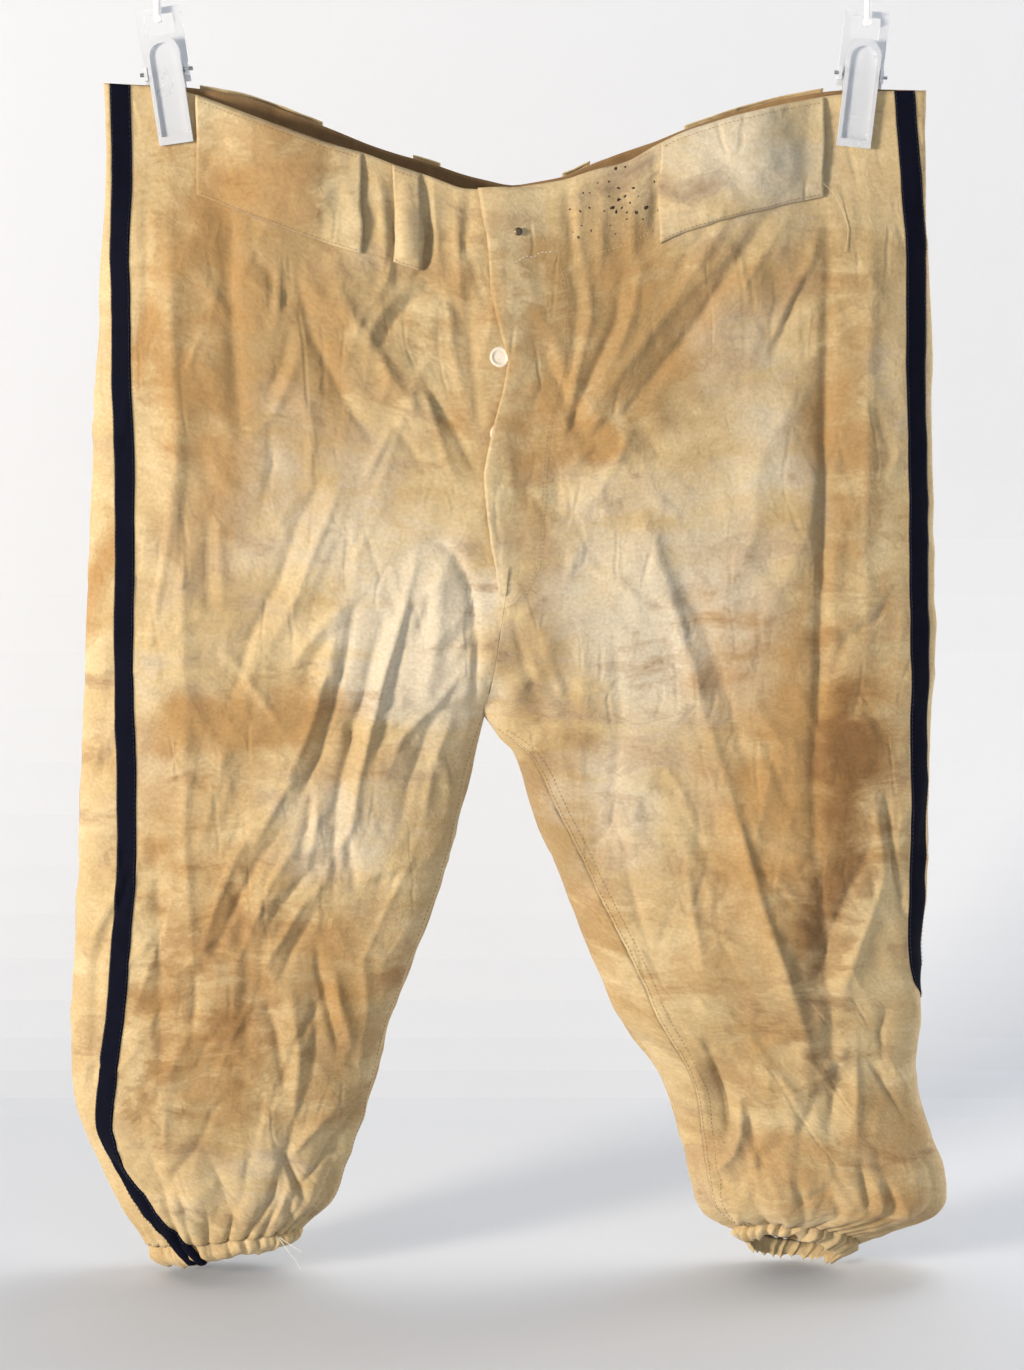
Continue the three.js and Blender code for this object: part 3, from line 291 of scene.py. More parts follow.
        (-4.1, 15.3, 0.1, 150, 90, 96, 180, 40, 260), (-4.1, 15.3, 0.1, -170, 80, -110, 170, -48, 262),
        (3.8, 10.2, 0.4, 168, 110, 118, 196, 66, 272), (3.6, 10.2, 0.4, -186, 104, -128, 190, -74, 268),
        (4.5, 12.8, 0.3, -190, 230, -186, 400, -196, 560), (-4.5, 12.8, 0.1, 196, 250, 190, 420, 184, 580),
        (4.5, 11, 0.5, 60, 300, 96, 390, 128, 500), (4.3, 11, 0.5, -60, 320, -84, 410, -112, 520),
        (-3.4, 9.35, 0.2, 34, 310, 66, 392, 104, 488), (-3.4, 9.35, 0.2, -36, 330, -58, 402, -90, 500),
        (4.1, 7.65, 0.5, 130, 540, 150, 610, 158, 680), (4.1, 7.65, 0.5, -140, 560, -158, 620, -172, 690),
        (-3.8, 7.2, 0.3, 112, 560, 130, 620, 140, 690), (-3.8, 7.2, 0.3, -124, 580, -140, 640, -150, 700),
        (3.4, 7.2, 0.5, 216, 560, 226, 620, 222, 690), (3.4, 7.2, 0.5, -240, 560, -236, 620, -216, 690),
        (3.1, 7.65, 0.4, 6, 240, 30, 286, 62, 330), (3.1, 7.65, 0.4, -16, 236, -46, 284, -84, 322),
        (3, 6.3, 0.4, 110, 330, 150, 350, 196, 348), (3, 6.3, 0.4, -120, 340, -160, 362, -214, 356),
        (3.1, 6.3, 0.4, 120, 600, 150, 594, 190, 606), (2.9, 6.3, 0.4, -110, 604, -150, 598, -196, 610),
        (3, 5.4, 0.4, -104, 56, -100, 100, -96, 150), (-3.1, 5.4, 0.3, -112, 52, -112, 100, -106, 140),
        (3, 5.4, 0.4, 60, 50, 62, 100, 70, 150), (-3.1, 5.4, 0.3, 74, 46, 76, 90, 84, 140),
        (3, 5.4, 0.4, -6, 62, -4, 104, -10, 160), (-3, 5.4, 0.3, 12, 60, 14, 100, 10, 150),
    ),
}

# Patches where small wrinkles gather: middle, reach, count, lean of the wrinkles in degrees from upright
CRUMPLES = {
    "front": (
        (-70, 350, 60, 70, 12, 28), (-150, 480, 60, 70, 10, 24), (-170, 690, 70, 34, 14, 10),
        (60, 230, 60, 70, 10, 24), (120, 480, 60, 90, 10, -24), (180, 690, 70, 40, 16, -6),
        (-230, 620, 30, 50, 8, 60), (20, 380, 30, 40, 8, -40), (150, 130, 70, 40, 8, 50),
        (-120, 140, 80, 50, 8, -20),
    ),
    "back": (
        (-100, 420, 90, 110, 14, 24), (100, 420, 90, 110, 14, -24), (-180, 660, 80, 60, 16, 10),
        (180, 660, 80, 60, 16, -10), (0, 220, 150, 90, 12, 0),
    ),
}

# Stains, worn places and painted shade: x, drop, half width, half height, strength
TINTS = {
    "front": {
        # the tan rows are painted shade where the cloth falls into soft shade over the hips, the waist's top, the
        # inner left thigh, the knees and the right shin, together with dull soil
        "shade_and_soil": (
            (-150, 150, 44, 90, 0.9), (-170, 60, 30, 20, 0.5), (-90, 200, 40, 60, 0.5),
            (-60, 120, 30, 40, 0.5), (60, 120, 40, 50, 0.6), (96, 168, 50, 50, 0.8), (170, 110, 50, 40, 0.5),
            (200, 240, 30, 80, 0.5), (14, 330, 16, 110, 0.6), (30, 480, 20, 90, 0.9), (120, 620, 30, 50, 0.5),
            (-190, 640, 40, 50, 0.6), (-120, 600, 24, 60, 0.5), (-200, 300, 30, 90, 0.4),
            (120, 400, 50, 60, 0.35),
        ),
        "ochre": (
            (-232, 165, 10, 16, 0.9), (-196, 190, 22, 110, 0.45), (-168, 398, 56, 20, 0.9),
            (-120, 420, 42, 20, 0.45), (-190, 480, 44, 60, 0.45), (-178, 570, 50, 60, 0.5),
            (-110, 560, 20, 60, 0.4), (-150, 60, 50, 40, 0.35), (-40, 180, 20, 70, 0.3),
            (-174, 140, 24, 84, 0.5), (-120, 180, 16, 60, 0.4), (-30, 150, 18, 40, 0.4),
            (-226, 560, 16, 90, 0.5), (-134, 640, 20, 50, 0.4), (-258, 295, 10, 36, 0.7),
            (-90, 560, 30, 40, 0.35), (100, 170, 40, 26, 0.45), (150, 350, 50, 50, 0.4),
            (120, 540, 60, 40, 0.35), (170, 690, 50, 24, 0.5), (230, 708, 40, 20, 0.45),
            (16, 190, 26, 60, 0.5), (42, 214, 18, 14, 0.8), (110, 128, 50, 24, 0.5), (60, 160, 30, 50, 0.4),
            (18, 260, 14, 50, 0.4), (190, 420, 44, 90, 0.8), (206, 270, 16, 110, 0.45),
            (160, 590, 40, 50, 0.3), (150, 480, 30, 70, 0.35), (240, 660, 34, 50, 0.5),
            (250, 330, 14, 80, 0.35), (60, 540, 24, 60, 0.4),
        ),
        "pale": (
            (-58, 345, 36, 56, 0.85), (-92, 470, 36, 40, 0.5), (-140, 300, 50, 50, 0.35),
            (-160, 694, 44, 20, 0.3), (-236, 420, 20, 60, 0.3), (-120, 240, 40, 40, 0.3),
            (140, 50, 60, 30, 0.5), (96, 340, 62, 56, 0.8), (40, 300, 30, 50, 0.45), (62, 450, 22, 44, 0.5),
            (150, 210, 34, 60, 0.45), (120, 420, 26, 50, 0.4), (240, 200, 16, 60, 0.3),
            (140, 690, 30, 30, 0.3),
        ),
        # the brown rows beside both braids, in the hollow of the right knee and on the inner left thigh by the
        # crotch are painted shade; the one by the moth holes at the waist is a dark stain
        "dark_stain_and_shade": (
            (-226, 590, 18, 70, 0.35), (-30, 300, 14, 30, 0.25), (-172, 560, 22, 60, 0.35),
            (24, 420, 14, 30, 0.3), (210, 420, 16, 70, 0.6), (204, 500, 18, 60, 0.6),
            (200, 600, 12, 34, 0.35), (14, 376, 14, 26, 0.2), (92, 62, 36, 12, 0.35),
        ),
    },
    "back": {
        # the tan rows of the back are painted shade over the hips, the inner thighs and the right shin, together
        # with dull soil
        "shade_and_soil": (
            (-120, 160, 70, 90, 0.7), (110, 170, 70, 80, 0.7), (30, 470, 30, 90, 0.7),
            (-60, 470, 30, 90, 0.6), (-180, 620, 40, 60, 0.5),
        ),
        "ochre": (
            (150, 200, 60, 90, 0.5), (-140, 240, 60, 100, 0.5), (120, 520, 60, 80, 0.5),
            (-140, 600, 60, 60, 0.5), (-256, 500, 26, 200, 0.45), (256, 400, 26, 200, 0.55),
        ),
        "pale": (
            (60, 340, 60, 70, 0.6), (-80, 420, 60, 70, 0.6), (190, 640, 50, 50, 0.4), (0, 180, 60, 50, 0.4),
        ),
        "dark_stain_and_shade": (
            (-180, 420, 40, 80, 0.5), (200, 470, 30, 90, 0.6), (0, 76, 240, 18, 0.45),
        ),
    },
}

# Moth holes in the left front of the waist: x, drop, size
MOTH_HOLES = (
    (64, 53, 3.0), (70, 52, 2.0), (60, 61, 2.0), (66, 65, 2.6), (75, 65, 3.0), (70, 70, 3.0), (66, 72, 3.2),
    (44, 68, 1.8), (48, 68, 1.4), (48, 77, 1.8), (36, 78, 2.2), (42, 79, 2.6), (62, 77, 3.8), (64.5, 79.5, 3.0),
    (68, 77, 2.2), (71, 80, 2.4), (71, 84, 2.0), (77, 80, 3.2), (83, 77, 4.0), (91, 78, 3.4), (88, 61, 1.8),
    (43, 88, 2.0), (49, 91, 2.0), (41, 95, 2.4), (61, 88, 1.4), (64, 93, 1.4), (38, 92, 1.2), (15, 102, 3.4),
    (11, 105, 3.0), (60, 70, 1.6), (73, 74, 1.8), (57, 79, 1.6), (81, 84, 1.6), (53, 62, 1.4), (78, 70, 1.4),
)


# ---------------------------------------------------------------- numbers

def smooth(v):
    """A soft step from 0 to 1."""
    c = np.clip(v, 0.0, 1.0)
    return c * c * (3 - 2 * c)


def power(v, p):
    """A power that keeps the sign."""
    return np.sign(v) * np.abs(v) ** p


WAIST_X = np.arange(-300.0, 301.0, 1.0)
BELL_REACH = 14
BELL = np.exp(-(np.arange(-BELL_REACH, BELL_REACH + 1) / 6.0) ** 2)
BELL /= BELL.sum()
WAIST_DROP = {
    face: np.convolve(np.pad(np.interp(WAIST_X, WAIST["x"], WAIST[face]), BELL_REACH, mode="edge"), BELL, "valid")
    for face in FACES
}


def sag(face, x):
    """The waist edge's drop at x, a little smoothed."""
    return np.interp(x, WAIST_X, WAIST_DROP[face])


def sections(side):
    """All sections of one side from waist to hem, as arrays with the same names."""
    b, leg = BODY, LEGS[side]
    n, m = len(b["t"]), len(leg["out"])
    pad = lambda a, value: np.concatenate([a, np.full(m, float(value))])
    both = lambda a, c: np.concatenate([a, c])
    t = b["t"]
    return {
        "out": both(b[side], leg["out"]),
        "inn": both(b["centre"], leg["inn"]),
        "drop": both(sag("front", b[side]) * (1 - t) + CROTCH * t, leg["drop"]),
        "drop_in": both(sag("front", b["centre"]) * (1 - t) + CROTCH * t, leg["drop_in"]),
        "fade": pad(1 - t, 0),
        "mid": both(b["mid"], leg["mid"]),
        "front": both(b["front"], leg["front"]),
        "back": both(b["back"], leg["back"]),
        "wrap": pad(b["wrap"], 180),
        "seat": pad(b["seat"], 180),
        "square": pad(b["square"], 2.25),
        "lift": both(np.zeros(n), leg["lift"]),
        "side": both(b[side + "_seam"], leg["side"]),
        "inner": both(np.zeros(n), leg["inner"]),
    }


SECTIONS = {side: sections(side) for side in SIDES}
LAST_ROW = len(SECTIONS["right"]["out"]) - 1
CROTCH_ROW = len(BODY["t"]) - 1


def section_at(side, row):
    """One section between the rows of the table, on a smooth curve through them."""
    i = int(min(max(math.floor(row), 0), LAST_ROW - 1))
    f = row - i
    made = {}
    for key, a in SECTIONS[side].items():
        p0, p1, p2, p3 = a[max(i - 1, 0)], a[i], a[i + 1], a[min(i + 2, LAST_ROW)]
        curve = p1 + 0.5 * f * (p2 - p0 + f * (2 * p0 - 5 * p1 + 4 * p2 - p3 + f * (3 * (p1 - p2) + p3 - p0)))
        low, high = min(p1, p2), max(p1, p2)
        loose = 0.0 if key in ("wrap", "seat", "fade") else 0.15 * (high - low) + 0.5
        made[key] = min(max(curve, low - loose), high + loose)
    return made


def place(side, s, share):
    """Places of one ring, for shares from 1 at the front's inner end over 0 at the outer fold to -1."""
    front = share >= 0
    sign = -1.0 if side == "right" else 1.0
    angle = np.radians(np.where(front, s["wrap"], s["seat"]))
    inner = s["inn"] + sign * 0.05
    end = power(np.cos(angle), 2 / s["square"])
    width = (s["out"] - inner) / (1 - end)
    turn = np.abs(share) * angle
    x = s["out"] - width + width * power(np.cos(turn), 2 / s["square"])
    across = np.clip((x - s["out"]) / (inner - s["out"]), 0, 1)
    full = np.abs(np.sin(turn)) ** (2 / s["square"])
    edge = np.where(front, sag("front", x), sag("back", x))
    rim = sag("front", s["out"]) * (1 - across) + sag("front", s["inn"]) * across
    drop = s["drop"] * (1 - across) + s["drop_in"] * across + s["fade"] * (edge - rim)
    half = full * np.where(front, s["front"], s["back"])
    squeeze = (1 - smooth((np.abs(x - CLIP_X[side]) - CLIP_FLAT) / CLIP_FADE)) * (
        1 - smooth((drop - CLIP_DEEP) / CLIP_DEEP_FADE))
    half = np.where(half > CLIP_HALF, half - squeeze * (half - CLIP_HALF), half)
    way = np.where(front, -1.0, 1.0)
    y = s["mid"] * smooth(across) + way * half
    z = -TOP - drop - way * s["lift"] * full
    return np.stack([x, y, z], -1), full, squeeze


def noise(u, v, size, seed):
    """Smooth random hills between -1 and 1 of about that size, over two coordinates in millimetres."""
    rng = np.random.RandomState(seed)
    table = rng.uniform(-1, 1, (64, 64))
    a, b = u / size + 512.37, v / size + 512.71
    i, j = np.floor(a).astype(int), np.floor(b).astype(int)
    f, g = smooth(a - i), smooth(b - j)
    at = lambda p, q: table[p % 64, q % 64]
    near = at(i, j) * (1 - f) + at(i + 1, j) * f
    far = at(i, j + 1) * (1 - f) + at(i + 1, j + 1) * f
    return near * (1 - g) + far * g


def crease_height(x, drop, path, high, wide, sharp):
    """Height of one crease along a path, tapering at its ends and steeper on one side if sharp."""
    path = np.reshape(path, (-1, 2)).astype(float)
    low, top = path.min(0) - 4 * wide, path.max(0) + 4 * wide
    out = np.zeros_like(x)
    near = (x > low[0]) & (x < top[0]) & (drop > low[1]) & (drop < top[1])
    if not near.any():
        return out
    px, py = x[near], drop[near]
    best = np.full(px.shape, 1e9)
    along = np.zeros_like(px)
    side = np.ones_like(px)
    lengths = np.hypot(*(path[1:] - path[:-1]).T)
    starts = np.concatenate([[0], np.cumsum(lengths)])
    for i, length in enumerate(lengths):
        ax, ay = path[i]
        dx, dy = (path[i + 1] - path[i]) / length
        f = np.clip((px - ax) * dx + (py - ay) * dy, 0, length)
        ox, oy = px - ax - f * dx, py - ay - f * dy
        d = np.hypot(ox, oy)
        closer = d < best
        best = np.where(closer, d, best)
        along = np.where(closer, (starts[i] + f) / starts[-1], along)
        side = np.where(closer, np.sign(dx * oy - dy * ox), side)
    ends = np.sin(np.pi * np.clip(along, 0.01, 0.99)) ** 0.6
    reach = wide * np.where(side > 0, 1 - 0.55 * sharp, 1 + 0.35 * sharp)
    crest = np.maximum(0.16 * reach, 0.9)
    fall = np.sqrt(best ** 2 + crest ** 2) - crest
    out[near] = high * ends * (0.55 * np.exp(-fall / (0.3 * reach)) + 0.45 * np.exp(-fall / (0.8 * reach)))
    return out


# How small wrinkles vary: lean, half length, bend, way out or in, height, half width and steepness
PATCH_WRINKLE = (22, (10, 34), 0.16, (-1, 1), (0.7, 1.9), (3.2, 6.5), (0.1, 0.7))
FINE_WRINKLE = (26, (12, 42), 0.08, (-1, 1, 1), (0.6, 1.5), (2.8, 4.2), (0.3, 0.9))


def wrinkle(rng, x, drop, lean, kind):
    """One small crease through a place, as a row like those of CREASES."""
    lean_spread, lengths, bends, ways, heights, widths, sharps = kind
    a = math.radians(lean + rng.normal(0, lean_spread))
    length = rng.uniform(*lengths)
    bend = rng.normal(0, bends) * length
    dx, dy = -math.sin(a) * length, math.cos(a) * length
    high = rng.choice(ways) * rng.uniform(*heights)
    wide, sharp = rng.uniform(*widths), rng.uniform(*sharps)
    return high, wide, sharp, x - dx, drop - dy, x + bend, drop, x + dx, drop + dy


def small_creases():
    """Short uneven wrinkles in each patch of CRUMPLES, and long thin lines down and in towards the crotch."""
    rng = np.random.RandomState(11)
    made = {face: [] for face in FACES}
    for face in FACES:
        for x, drop, reach_x, reach_y, count, lean in CRUMPLES[face]:
            for _ in range(count):
                cx, cy = x + rng.normal(0, 0.45) * reach_x, drop + rng.normal(0, 0.45) * reach_y
                made[face].append(wrinkle(rng, cx, cy, lean, PATCH_WRINKLE))
    for k in range(FINE_CREASES):
        cx, cy = rng.uniform(-262, 262), rng.uniform(70, 730)
        made["front" if k % 2 else "back"].append(wrinkle(rng, cx, cy, math.copysign(24, -cx), FINE_WRINKLE))
    return made


HEM_RADIUS = 60      # millimetres to a radian, for the random hills round a hem
GATHERS_REACH, GATHERS_HIGH = 62, 1.7     # above the hem
PLEATS_REACH, PLEATS_HIGH = 120, 2.6
SWELL = 1.2          # broad unevenness of the cloth
# Soft buckles that cross: size, height, lean and random row
BUCKLES = ((34, 1.5, 0.35, 4), (19, 0.8, -0.5, 6), (10, 0.35, 0.2, 8))


def gather_phase(turn, seed):
    """Where each hem gather is, round the leg, unevenly spaced."""
    round_leg = turn * HEM_RADIUS
    uneven = 1.5 * noise(round_leg, 0 * turn, 22, seed)
    return GATHERS * turn + uneven + 0.7 * noise(round_leg, 0 * turn, 7, seed + 5)


def gather_lobe(phase):
    """Full lobes with narrow valleys between them, from -1 in a valley to 1."""
    return 2 * np.abs(np.sin(phase / 2)) ** 0.7 - 1


def cloth_height(side, x, drop, front, full, squeeze, share, to_hem):
    """How far the cloth stands out of its smooth form, all folds together."""
    high = np.zeros_like(x)
    # the creases, weaker at the outer folds, in the clips and at the waist's edge
    for face, mask in (("front", front), ("back", ~front)):
        for h, wide, sharp, *path in CREASES[face] + tuple(SMALL[face]):
            high += np.where(mask, crease_height(x, drop, path, h, wide, sharp), 0)
    high *= smooth((full - 0.25) / 0.45) * (1 - 0.9 * squeeze)
    edge = np.where(front, sag("front", x), sag("back", x))
    high *= 0.4 + 0.6 * smooth((drop - edge - 4) / 40)
    # unevenness all over, different on the back
    u = x + np.where(front, 0.0, 900.0)
    bend_u = u + 7 * noise(u, drop, 38, 12)
    bend_v = drop + 7 * noise(u, drop, 38, 13)
    high += SWELL * noise(u, drop * 0.45, 46, 3) * (1 - squeeze)
    for size, tall, lean, seed in BUCKLES:
        ridge = noise(bend_u + lean * bend_v, 0.5 * bend_v, size, seed)
        high += tall * (0.75 - np.sqrt(ridge ** 2 + 0.004)) * 1.6 * (1 - 0.8 * squeeze)
    # gathers at the hem, and wider pleats above them
    turn = share * np.pi
    near = smooth(1 - to_hem / GATHERS_REACH)
    wide_near = smooth(1 - to_hem / PLEATS_REACH)
    phase = gather_phase(turn, HEM_SEED[side])
    high += GATHERS_HIGH * near ** 2 * gather_lobe(phase)
    pleat = 2 * np.abs(np.sin(phase / 5 + 0.6 * noise(drop, x, 40, 9))) - 1
    high += PLEATS_HIGH * wide_near * (1 - near ** 3) * pleat
    return high


# ---------------------------------------------------------------- the cloth's grids

ROW_STEP = 2.5
FRONT_COLUMNS = 120
BACK_COLUMNS = 134
RING_STEPS = 960
SMALL = {}
SEAM_LENGTHS = {}


def row_places(side):
    """Rows a few millimetres apart from waist to hem, as numbers into the sections."""
    fine = np.linspace(0, LAST_ROW, 40 * LAST_ROW + 1)
    found = [section_at(side, r) for r in fine]
    path = np.array([[s["out"], s["drop"], s["inn"], s["drop_in"], 2 * s["front"]] for s in found])
    step = np.abs(np.diff(path, axis=0))
    length = np.concatenate([[0], np.cumsum(np.maximum(np.hypot(step[:, 1], step[:, 0]), step[:, 3]))])
    count = int(round(length[-1] / ROW_STEP)) + 1
    return np.interp(np.linspace(0, length[-1], count), length, fine)


def spread(total, folds, count):
    """Lengths from 0 to total, closer together at the folds."""
    at = np.linspace(0, total, 900)
    weight = np.ones_like(at)
    for fold in folds:
        weight += 2.6 * np.exp(-((at - fold) / 8.0) ** 2)
    run = np.concatenate([[0], np.cumsum((weight[1:] + weight[:-1]) / 2)])
    return np.interp(np.linspace(0, run[-1], count), run, at)


def fine_ring(side, s):
    """Many places round one section, with the length run to each from the front's inner end."""
    share = np.linspace(1, -1, RING_STEPS + 1)
    p, full, squeeze = place(side, s, share)
    length = np.concatenate([[0], np.cumsum(np.linalg.norm(np.diff(p, axis=0), axis=1))])
    return share, p, full, squeeze, length


def seam_lengths(side):
    """For each row of the tables, how far round the side seam is from the outer fold, plus to the front."""
    made = []
    for row in range(LAST_ROW + 1):
        s = section_at(side, row)
        _, p, _, _, length = fine_ring(side, s)
        half = RING_STEPS // 2
        i, step = half, -1 if s["side"] >= 0 else 1
        while abs(p[i, 0] - s["out"]) < abs(s["side"]) and 0 < i < RING_STEPS:
            i += step
        made.append(length[half] - length[i])
    return np.array(made)


def ring(side, row):
    """One ring's columns: places, share of the way round, and length from the side seam."""
    s = section_at(side, row)
    share, p, full, squeeze, length = fine_ring(side, s)
    half = RING_STEPS // 2
    folded = float(smooth((s["wrap"] - 100) / 60))
    side_at = length[half] - float(np.interp(row, np.arange(LAST_ROW + 1), SEAM_LENGTHS[side]))
    i = 0
    while abs(p[i, 0] - s["inn"]) < s["inner"] and i < half:
        i += 1
    inner_at = length[i] * folded
    total = length[-1]
    front = inner_at + spread(side_at - inner_at, [length[half] - inner_at, -inner_at], FRONT_COLUMNS)
    back = side_at + spread(total + inner_at - side_at, [length[half] - side_at, total - side_at], BACK_COLUMNS)
    at = np.concatenate([front, back[1:]])
    looped = np.where(at > total, at - total, at)
    pick = lambda a: np.interp(looped, length, a)
    places = np.stack([pick(p[:, k]) for k in range(3)], -1)
    return places, pick(share), at - side_at, pick(full), pick(squeeze), folded


def normals(grid, looped, side):
    """Outward directions of a grid of places, wrapping round where a row is a closed ring."""
    down = np.gradient(grid, axis=0)
    round_ = np.gradient(grid, axis=1)
    closed = looped > 0.5
    wrap = (grid[:, 1] - grid[:, -2]) / 2
    round_[closed, 0] = wrap[closed]
    round_[closed, -1] = wrap[closed]
    n = np.cross(round_, down)
    if side == "left":
        n = -n
    return n / np.maximum(np.linalg.norm(n, axis=-1, keepdims=True), 1e-9)


def side_grid(side):
    """The cloth of one side as a grid of rows and columns, with its folds."""
    rows = row_places(side)
    parts = [ring(side, r) for r in rows]
    grid = np.array([p[0] for p in parts])
    share, around, full, squeeze = (np.array([p[k] for p in parts]) for k in (1, 2, 3, 4))
    looped = np.array([p[5] for p in parts])
    step = np.linalg.norm(np.diff(grid, axis=0), axis=-1).mean(axis=1)
    down = np.concatenate([[0], np.cumsum(step)])
    to_hem = np.broadcast_to((down[-1] - down)[:, None], share.shape)
    n = normals(grid, looped, side)
    x, drop = grid[..., 0], -grid[..., 2] - TOP
    front = share > 0
    high = cloth_height(side, x, drop, front, full, squeeze, share, to_hem)
    closed = looped > 0.5
    joined = (high[:, 0] + high[:, -1]) / 2
    high[closed, 0] = joined[closed]
    high[closed, -1] = joined[closed]
    grid = grid + n * high[..., None]
    return {
        "grid": grid, "share": share, "around": around, "down": down, "looped": looped,
        "x": x, "drop": drop, "front": front, "rows": rows,
    }


def weld_centre(sides):
    """The two sides meet in one line down the centre front and back."""
    count = min(len(s["rows"]) for s in sides.values())
    for col in (0, -1):
        for row in range(count):
            a, b = (sides[side]["grid"][row, col] for side in SIDES)
            if sides["right"]["rows"][row] > CROTCH_ROW - 0.02 or np.linalg.norm(a - b) > 6:
                break
            middle = (a + b) / 2
            sides["right"]["grid"][row, col] = middle
            sides["left"]["grid"][row, col] = middle


CLOTH = {}


def build_cloth():
    """Works the cloth out once, for all the operators."""
    if CLOTH:
        return
    SMALL.update(small_creases())
    for side in SIDES:
        SEAM_LENGTHS[side] = seam_lengths(side)
    for side in SIDES:
        CLOTH[side] = side_grid(side)
    weld_centre(CLOTH)
    for side in SIDES:
        c = CLOTH[side]
        c["normal"] = normals(c["grid"], c["looped"], side)


def cloth_point(face, x, drop):
    """Place and outward direction of the waist or hip cloth at x and a drop below the clips."""
    side = "right" if x < 0 else "left"
    c = CLOTH[side]
    half = slice(0, FRONT_COLUMNS) if face == "front" else slice(FRONT_COLUMNS, None)
    low, high = 0, int(np.searchsorted(c["rows"], CROTCH_ROW - 1))

    def at(row):
        xs = c["grid"][row, half, 0]
        mask = (c["share"][row, half] > 0) == (face == "front")
        xs = xs[mask]
        order = np.argsort(xs)
        p = c["grid"][row, half][mask][order]
        n = c["normal"][row, half][mask][order]
        point = np.array([np.interp(x, xs[order], p[:, k]) for k in range(3)])
        return point, np.array([np.interp(x, xs[order], n[:, k]) for k in range(3)])

    while high - low > 1:
        mid = (low + high) // 2
        if -TOP - at(mid)[0][2] < drop:
            low = mid
        else:
            high = mid
    (p0, n0), (p1, n1) = at(low), at(high)
    d0, d1 = -TOP - p0[2], -TOP - p1[2]
    f = (drop - d0) / (d1 - d0) if d1 != d0 else 0.0
    f = min(max(f, -1.0), 1.0)
    n = n0 + (n1 - n0) * f
    return p0 + (p1 - p0) * f, n / np.linalg.norm(n)


# ---------------------------------------------------------------- meshes

def mesh_object(name, points, faces, uv=None, attributes=None):
    """A mesh object from millimetre points, with an optional uv in metres and float attributes."""
    mesh = bpy.data.meshes.new(name)
    mesh.from_pydata((np.asarray(points) * MM).tolist(), [], faces)
    mesh.update()
    if uv is not None:
        layer = mesh.uv_layers.new(name="cloth")
        loops = np.zeros(len(mesh.loops), dtype=np.int32)
        mesh.loops.foreach_get("vertex_index", loops)
        layer.data.foreach_set("uv", np.asarray(uv)[loops].ravel().astype(np.float32))
    for key, values in (attributes or {}).items():
        layer = mesh.attributes.new(key, "FLOAT", "POINT")
        layer.data.foreach_set("value", np.asarray(values, dtype=np.float32).ravel())
    obj = bpy.data.objects.new(name, mesh)
    bpy.context.collection.objects.link(obj)
    mesh.polygons.foreach_set("use_smooth", [True] * len(mesh.polygons))
    return obj


def grid_faces(rows, cols, flip=False, looped=False):
    """Quads of a grid of points, row by row."""
    r, c = np.meshgrid(np.arange(rows - 1), np.arange(cols if looped else cols - 1), indexing="ij")
    a = r * cols + c
    b = r * cols + (c + 1) % cols
    quads = np.stack([a, b, b + cols, a + cols], -1).reshape(-1, 4)
    if flip:
        quads = quads[:, ::-1]
    return quads.tolist()


def outward(obj):
    """Turns the faces of a closed piece outwards."""
    bm = bmesh.new()
    bm.from_mesh(obj.data)
    bmesh.ops.recalc_face_normals(bm, faces=bm.faces)
    bm.to_mesh(obj.data)
    bm.free()


def shell(obj, thick):
    """Gives a sheet its thickness, inwards from its face."""
    mod = obj.modifiers.new("thickness", "SOLIDIFY")
    mod.thickness = thick * MM
    mod.offset = -1.0
    mod.use_even_offset = False


def finish_piece(obj, nodes, material):
    """Material, body and the nodes that the piece stands for."""
    obj.data.materials.clear()
    obj.data.materials.append(MATERIALS[material])
    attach(obj, "root")
    if nodes:
        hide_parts(*nodes)
    return obj


def solid_piece(name, points, faces, material):
    """A small closed piece that replaces no node."""
    obj = mesh_object(name, points, faces)
    outward(obj)
    return finish_piece(obj, [], material)


def tints(x, drop, front):
    """Strength of each stain and each patch of painted shade at a place: warped patches with uneven edges."""
    wx = x + 16 * noise(x, drop, 34, 21) + 6 * noise(x, drop, 11, 22)
    wy = drop + 12 * noise(x, drop, 30, 23) + 5 * noise(x, drop, 9, 24)
    made = {key: np.zeros_like(x) for key in ("shade_and_soil", "ochre", "pale", "dark_stain_and_shade")}
    for face, mask in (("front", front), ("back", ~front)):
        for key, rows in TINTS[face].items():
            for cx, cy, rx, ry, strength in rows:
                d = ((wx - cx) / (1.25 * rx)) ** 2 + ((wy - cy) / (1.25 * ry)) ** 2
                core = np.where(mask, strength * np.exp(-d ** 1.2), 0)
                halo = np.where(mask, 0.18 * strength * np.exp(-d / 2), 0)
                made[key] = np.maximum(made[key], core) + halo
    for key, seed in (("ochre", 61), ("pale", 62), ("dark_stain_and_shade", 63), ("shade_and_soil", 64)):
        flip = np.where(front, 0.0, 500.0)
        cloud = noise(x + flip, drop * 0.7, 42, seed) + 0.5 * noise(x + flip, drop, 17, seed + 4)
        made[key] = np.clip(made[key] + (0.16 if key != "dark_stain_and_shade" else 0.05) * np.clip(cloud, -0.6, 1), 0, 1)
    return made


# ---------------------------------------------------------------- materials

def colour(code):
    """A hex sRGB colour as linear numbers."""
    parts = [int(code[i:i + 2], 16) / 255 for i in (1, 3, 5)]
    return tuple(v / 12.92 if v <= 0.04045 else ((v + 0.055) / 1.055) ** 2.4 for v in parts) + (1.0,)


WHITE = colour("#ffffff")


